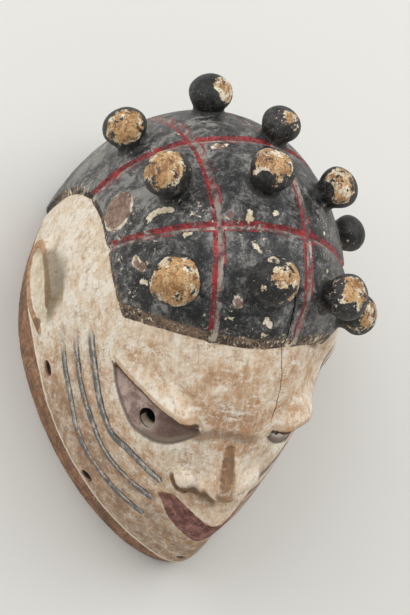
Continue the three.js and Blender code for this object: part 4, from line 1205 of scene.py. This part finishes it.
# Grey on the black: partly rubbed paint, partly painted sheen.
broad_rub_and_sheen = times(grain(36.0, 5.0, 0.6, shift=14.0), 0.25)
rub_and_sheen = add(times(scuffs, 0.65), broad_rub_and_sheen, times(fine, 0.15), field("paleness_and_light"))
black = layer(fade(rub_and_sheen, 0.45, 0.59), colour(16, 16, 17), colour(74, 74, 75))
black = layer(times(fade(rub_and_sheen, 0.535, 0.61), 0.9), black, colour(144, 142, 137))
black = layer(times(scratches, fade(rub_and_sheen, 0.47, 0.56), 0.5), black, colour(170, 166, 158))
black = layer(times(cross_scratches, fade(rub_and_sheen, 0.48, 0.58), 0.45), black, colour(150, 146, 140))
dust = fade(grain(1.2, 2.0, 0.5, shift=33.0), 0.66, 0.70)
black = layer(times(dust, fade(rub_and_sheen, 0.40, 0.56), 0.6), black, colour(160, 156, 148))
chip_noise = add(grain(3.0, 6.0, 0.66, shift=16.0), times(slow, 0.5), times(ragged_fine, 0.2))
small_chips = fade(chip_noise, 0.685, 0.70)
chip = frayed("chip", 6.5, 4.0)
chips = most(small_chips, fade(chip, 0.5, 0.25))
black = layer(times(fade(chip, 2.4, 1.4), 0.6), black, colour(24, 22, 22))
black = layer(chips, black, ground)
bare = frayed("bare", 5.0, 3.0)
spot_wood = mottled((112, 88, 76), (158, 132, 116))
spot_wood = layer(times(fade(fine, 0.58, 0.62), 0.7), spot_wood, colour(70, 56, 50))
spot_edge = layer(fade(mottle, 0.50, 0.54), spot_wood, ground)
black = layer(fade(bare, 0.9, 0.6), black, spot_edge)
black = layer(fade(bare, -0.3, -0.6), black, spot_wood)

# Parting paint: red brushed into the cuts. It stays on the shaded side of each cut and is worn
# to pinkish grey on the other side, with a thin fringe of red beyond.
for name, middle, half_width in (("red_strip", 1.3, 1.7), ("pale_strip", -1.4, 1.4), ("fringe", -3.1, 0.5)):
    strip = np.full(len(x), 30.0)
    for number, side in enumerate(parting_gaps(ux, uy, uz)):
        side = side if number < 2 else -side
        strip = np.minimum(strip, np.abs(side - middle) - half_width)
    keep_field(name, strip)
keep_field("front_dull", ease(15, -40, uy) * ease(-30, 0, ux))

line_shift = add(times(slow, 1.4), times(ragged, 2.0), times(ragged_fine, 1.2))
red = mottled((88, 18, 24), (164, 36, 44))
red = layer(fade(fine, 0.575, 0.62), red, colour(30, 24, 26))
red = layer(times(scratches, 0.5), red, colour(190, 120, 112))
worn_line = layer(fade(scuffs, 0.44, 0.56), colour(84, 72, 70), colour(164, 150, 140))
worn_line = layer(times(fade(mottle, 0.53, 0.57), 0.7), worn_line, colour(124, 52, 54))
worn_line = layer(times(fade(brush, 0.55, 0.6), 0.7), worn_line, colour(212, 202, 188))
red = layer(times(field("front_dull"), 0.6), red, colour(104, 58, 56))
red_kept = fade(add(chip_noise, times(scuffs, 0.25)), 0.80, 0.68)
fringe_kept = fade(grain(18.0, 4.0, 0.6, shift=19.0), 0.50, 0.54)
black = layer(times(fade(add(field("fringe"), line_shift), 0.3, -0.1), fringe_kept, 0.9), black, red)
black = layer(times(fade(add(field("red_strip"), line_shift), 0.3, -0.2), red_kept), black, red)
pale_part = fade(add(field("pale_strip"), line_shift), 0.1, -0.4)
black = layer(times(pale_part, 0.8), black, worn_line)

# Cap edge: the black ends on the chamfer down to the face, which is rubbed through to dull
# brown wood and chipped. The pale side of each parting runs out over it.
cap_edge = add(frayed("cap", 5.0, 1.5), times(slow, 3.0))
chamfer_wood = mottled((70, 58, 50), (128, 104, 84))
chamfer_wood = layer(fade(rub_and_sheen, 0.53, 0.58), chamfer_wood, colour(48, 44, 42))
chamfer_wood = layer(times(scratches, 0.6), chamfer_wood, colour(178, 158, 136))
cap_paint = layer(fade(cap_edge, 5.8, 4.9), black, chamfer_wood)
line_end = times(fade(field("pale_strip"), 0.4, -0.4), fade(field("cap"), 0.5, 1.5))
cap_paint = layer(times(line_end, fade(cap_edge, 5.8, 4.9)), cap_paint, colour(176, 166, 154))
edge_chips = times(fade(chip_noise, 0.60, 0.615), fade(field("cap"), 9.0, 3.0))
cap_paint = layer(edge_chips, cap_paint, ground)
on_cap = fade(frayed("cap", 1.4, 0.8), -0.1, 0.3)
paint = layer(on_cap, paint, cap_paint)

# Broken tuft: rough end grain where the tuft has come away from the block, never painted again,
# with bits of the cream ground left round its edge.
stub_height, stub_out = axis_place(x, y, z, STUB_CENTRE, STUB_AXIS)
keep_field("stub", np.where(np.abs(stub_height) < 6, STUB_RADIUS - stub_out, -40))

stub = frayed("stub", 3.4, 2.4)
stub_rim = layer(fade(mottle, 0.47, 0.51), spot_wood, ground)
paint = layer(fade(stub, -1.0, -0.7), paint, stub_rim)
paint = layer(fade(stub, 0.5, 0.8), paint, spot_wood)

# Tuft paint: the same black as the cap. It is worn through the cream ground to ochre wood on
# the tops, where the mask is handled and laid down.
worn = frayed("tuft_worn", 9.0, 4.5)
tuft_black = layer(fade(rub_and_sheen, 0.49, 0.60), colour(18, 18, 18), colour(60, 59, 57))
tuft_black = layer(times(scratches, fade(rub_and_sheen, 0.46, 0.56), 0.4), tuft_black, colour(140, 136, 130))
tuft_black = layer(small_chips, tuft_black, ground)
islands = add(grain(6.5, 8.0, 0.7, shift=23.0), times(ragged_fine, 0.25))
worn_patch = layer(fade(add(islands, times(worn, -0.018)), 0.475, 0.495), ochre, ground)
black_left = add(grain(5.0, 8.0, 0.7, shift=27.0), times(worn, -0.012))
worn_patch = layer(fade(black_left, 0.515, 0.53), worn_patch, tuft_black)
tuft_paint = layer(fade(worn, 0.0, 0.3), tuft_black, worn_patch)
paint = layer(fade(field("tuft_near"), 2.0, 1.2), paint, tuft_paint)

# Inside, holes and crack: bare brown wood, never painted. The lashing holes are darkened with
# painted shade, the pupils are dark with painted shade and pale with painted light on their lower wall near
# the mouth, and painted brown shade runs along the crack, darkest inside it.
crack_line = smooth_line(CRACK, 60)
crack_gap = np.full(len(x), 40.0)
near_crack = (x > 10) & (x < 40) & (y < 5) & (z > 130)
crack_gap[near_crack] = bent_line_place(x[near_crack], y[near_crack], z[near_crack], crack_line)[0]
chin_centre, chin_axis, chin_radius = CHIN_HOLE
ends = [np.array(chin_centre) + np.array(chin_axis) * k for k in (-20, 6)]
lash_hole = rod(x, y, z, *ends, chin_radius, chin_radius)
for centre, axis, radius in SIDE_HOLES:
    ends = [np.array(centre) + unit(axis) * k for k in (-20, 6)]
    lash_hole = np.minimum(lash_hole, rod(np.abs(ux), uy, uz, *ends, radius, radius))
keep_field("lash_hole", np.where(-depth > 1.2, lash_hole, 40))
keep_field("crack", np.where(near_crack & (-depth > 0.4), 0.0, crack_gap))

# Painted shade in brown along the crack on the face.
crack_edge_shade = times(fade(frayed("crack", 1.5), 3.0, 1.0), fade(field("cap"), 1.0, -1.0))
paint = layer(times(crack_edge_shade, 0.7), paint, colour(108, 82, 62))
inner_wood = layer(fade(fibres, 0.35, 0.65), colour(80, 60, 45), colour(118, 90, 68))
# Cut wood on the walls of holes and crack, darkened inside the crack with painted shade.
cut_wood_and_crack_shade = layer(fade(field("crack"), 3.0, 1.5), wood, colour(40, 30, 24))
paint = layer(fade(field("depth"), 0.5, 1.4), paint, cut_wood_and_crack_shade)
paint = layer(fade(field("inside"), -3.0, -2.0), paint, inner_wood)
# Painted shade: dark walls in the lashing holes.
lash_hole_shade = fade(field("lash_hole"), 2.0, 0.8)
paint = layer(times(lash_hole_shade, 0.9), paint, colour(40, 30, 25))
# Painted shade dark in the pupil bores, with painted light pale on their lower wall near the mouth.
pupil_shade_and_light = layer(fade(field("depth"), 10.0, 6.0), colour(20, 15, 13), colour(210, 194, 172))
lit_edge = fade(frayed("pupil_wall", 3.0), 0.6, 1.8)
paint = layer(fade(field("pupil_wall"), -20.0, -15.0), paint, layer(lit_edge, colour(26, 20, 17), pupil_shade_and_light))

# Finish: the paint is matt everywhere but on the black, which hands have rubbed to a low gloss.
# The scratches, chips and brush marks stand up or down by less than a millimetre.
links.new(paint, surface.inputs["Base Color"])
on_black = most(fade(field("cap"), 4.0, 6.0), fade(field("tuft_near"), 2.0, 1.0))
gloss = times(on_black, fade(chips, 0.6, 0.2), fade(rub_and_sheen, 0.66, 0.5))
roughness = add(0.86, times(gloss, -0.40), times(around_zero(fine), 0.3))
links.new(roughness, surface.inputs["Roughness"])
surface.inputs["Specular IOR Level"].default_value = 0.45

relief = add(times(mottle, 0.5), times(brush, 0.35), times(fine, 0.3), times(chips, -0.35))
relief = add(relief, times(scratches, -0.15), times(cross_scratches, -0.15))
relief = add(relief, times(fade(worn, 0.0, 0.3), -0.3))
bump = nodes.new("ShaderNodeBump")
bump.inputs["Distance"].default_value = 0.0007
bump.inputs["Strength"].default_value = 0.75
links.new(relief, bump.inputs["Height"])
links.new(bump.outputs["Normal"], surface.inputs["Normal"])
mask_mesh.materials.clear()
mask_mesh.materials.append(material)

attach(mask, "root")
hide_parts("carved_mask")

# Floor and light: a plain pale sheet that the rim rests on, and two wide soft lamps, one from the
# upper left and one from the upper right, in an evenly lit pale room.
FLOOR_HALF = 3
floor_corners = [(-FLOOR_HALF, -FLOOR_HALF, 0), (FLOOR_HALF, -FLOOR_HALF, 0)]
floor_corners += [(FLOOR_HALF, FLOOR_HALF, 0), (-FLOOR_HALF, FLOOR_HALF, 0)]
floor_mesh = bpy.data.meshes.new("floor")
floor_mesh.from_pydata(floor_corners, [], [(0, 1, 2, 3)])
floor = bpy.data.objects.new("floor", floor_mesh)
bpy.context.scene.collection.objects.link(floor)
floor_paint = bpy.data.materials.new("pale_floor")
floor_paint.use_nodes = True
floor_surface = floor_paint.node_tree.nodes["Principled BSDF"]
floor_surface.inputs["Base Color"].default_value = colour(218, 217, 213)
floor_surface.inputs["Roughness"].default_value = 0.95
floor_surface.inputs["Specular IOR Level"].default_value = 0.1
floor_mesh.materials.append(floor_paint)


def soft_light(name, toward, distance, size, power):
    data = bpy.data.lights.new(name, "AREA")
    data.shape = "SQUARE"
    data.size = size
    data.energy = power
    light = bpy.data.objects.new(name, data)
    direction = Vector(toward).normalized()
    light.location = direction * distance + Vector((0, 0, 0.1))
    light.rotation_euler = direction.to_track_quat("Z", "Y").to_euler()
    bpy.context.scene.collection.objects.link(light)


soft_light("upper_left_light", (-0.60, 0.42, 0.70), 1.9, 1.9, 18.5)
soft_light("upper_right_light", (0.472, 0.26, 0.84), 1.9, 1.5, 17.5)
world = bpy.data.worlds.new("soft_room")
world.use_nodes = True
world.node_tree.nodes["Background"].inputs["Color"].default_value = (1.0, 0.995, 0.98, 1.0)
world.node_tree.nodes["Background"].inputs["Strength"].default_value = 0.56
bpy.context.scene.world = world
bpy.context.scene.view_settings.view_transform = "Standard"
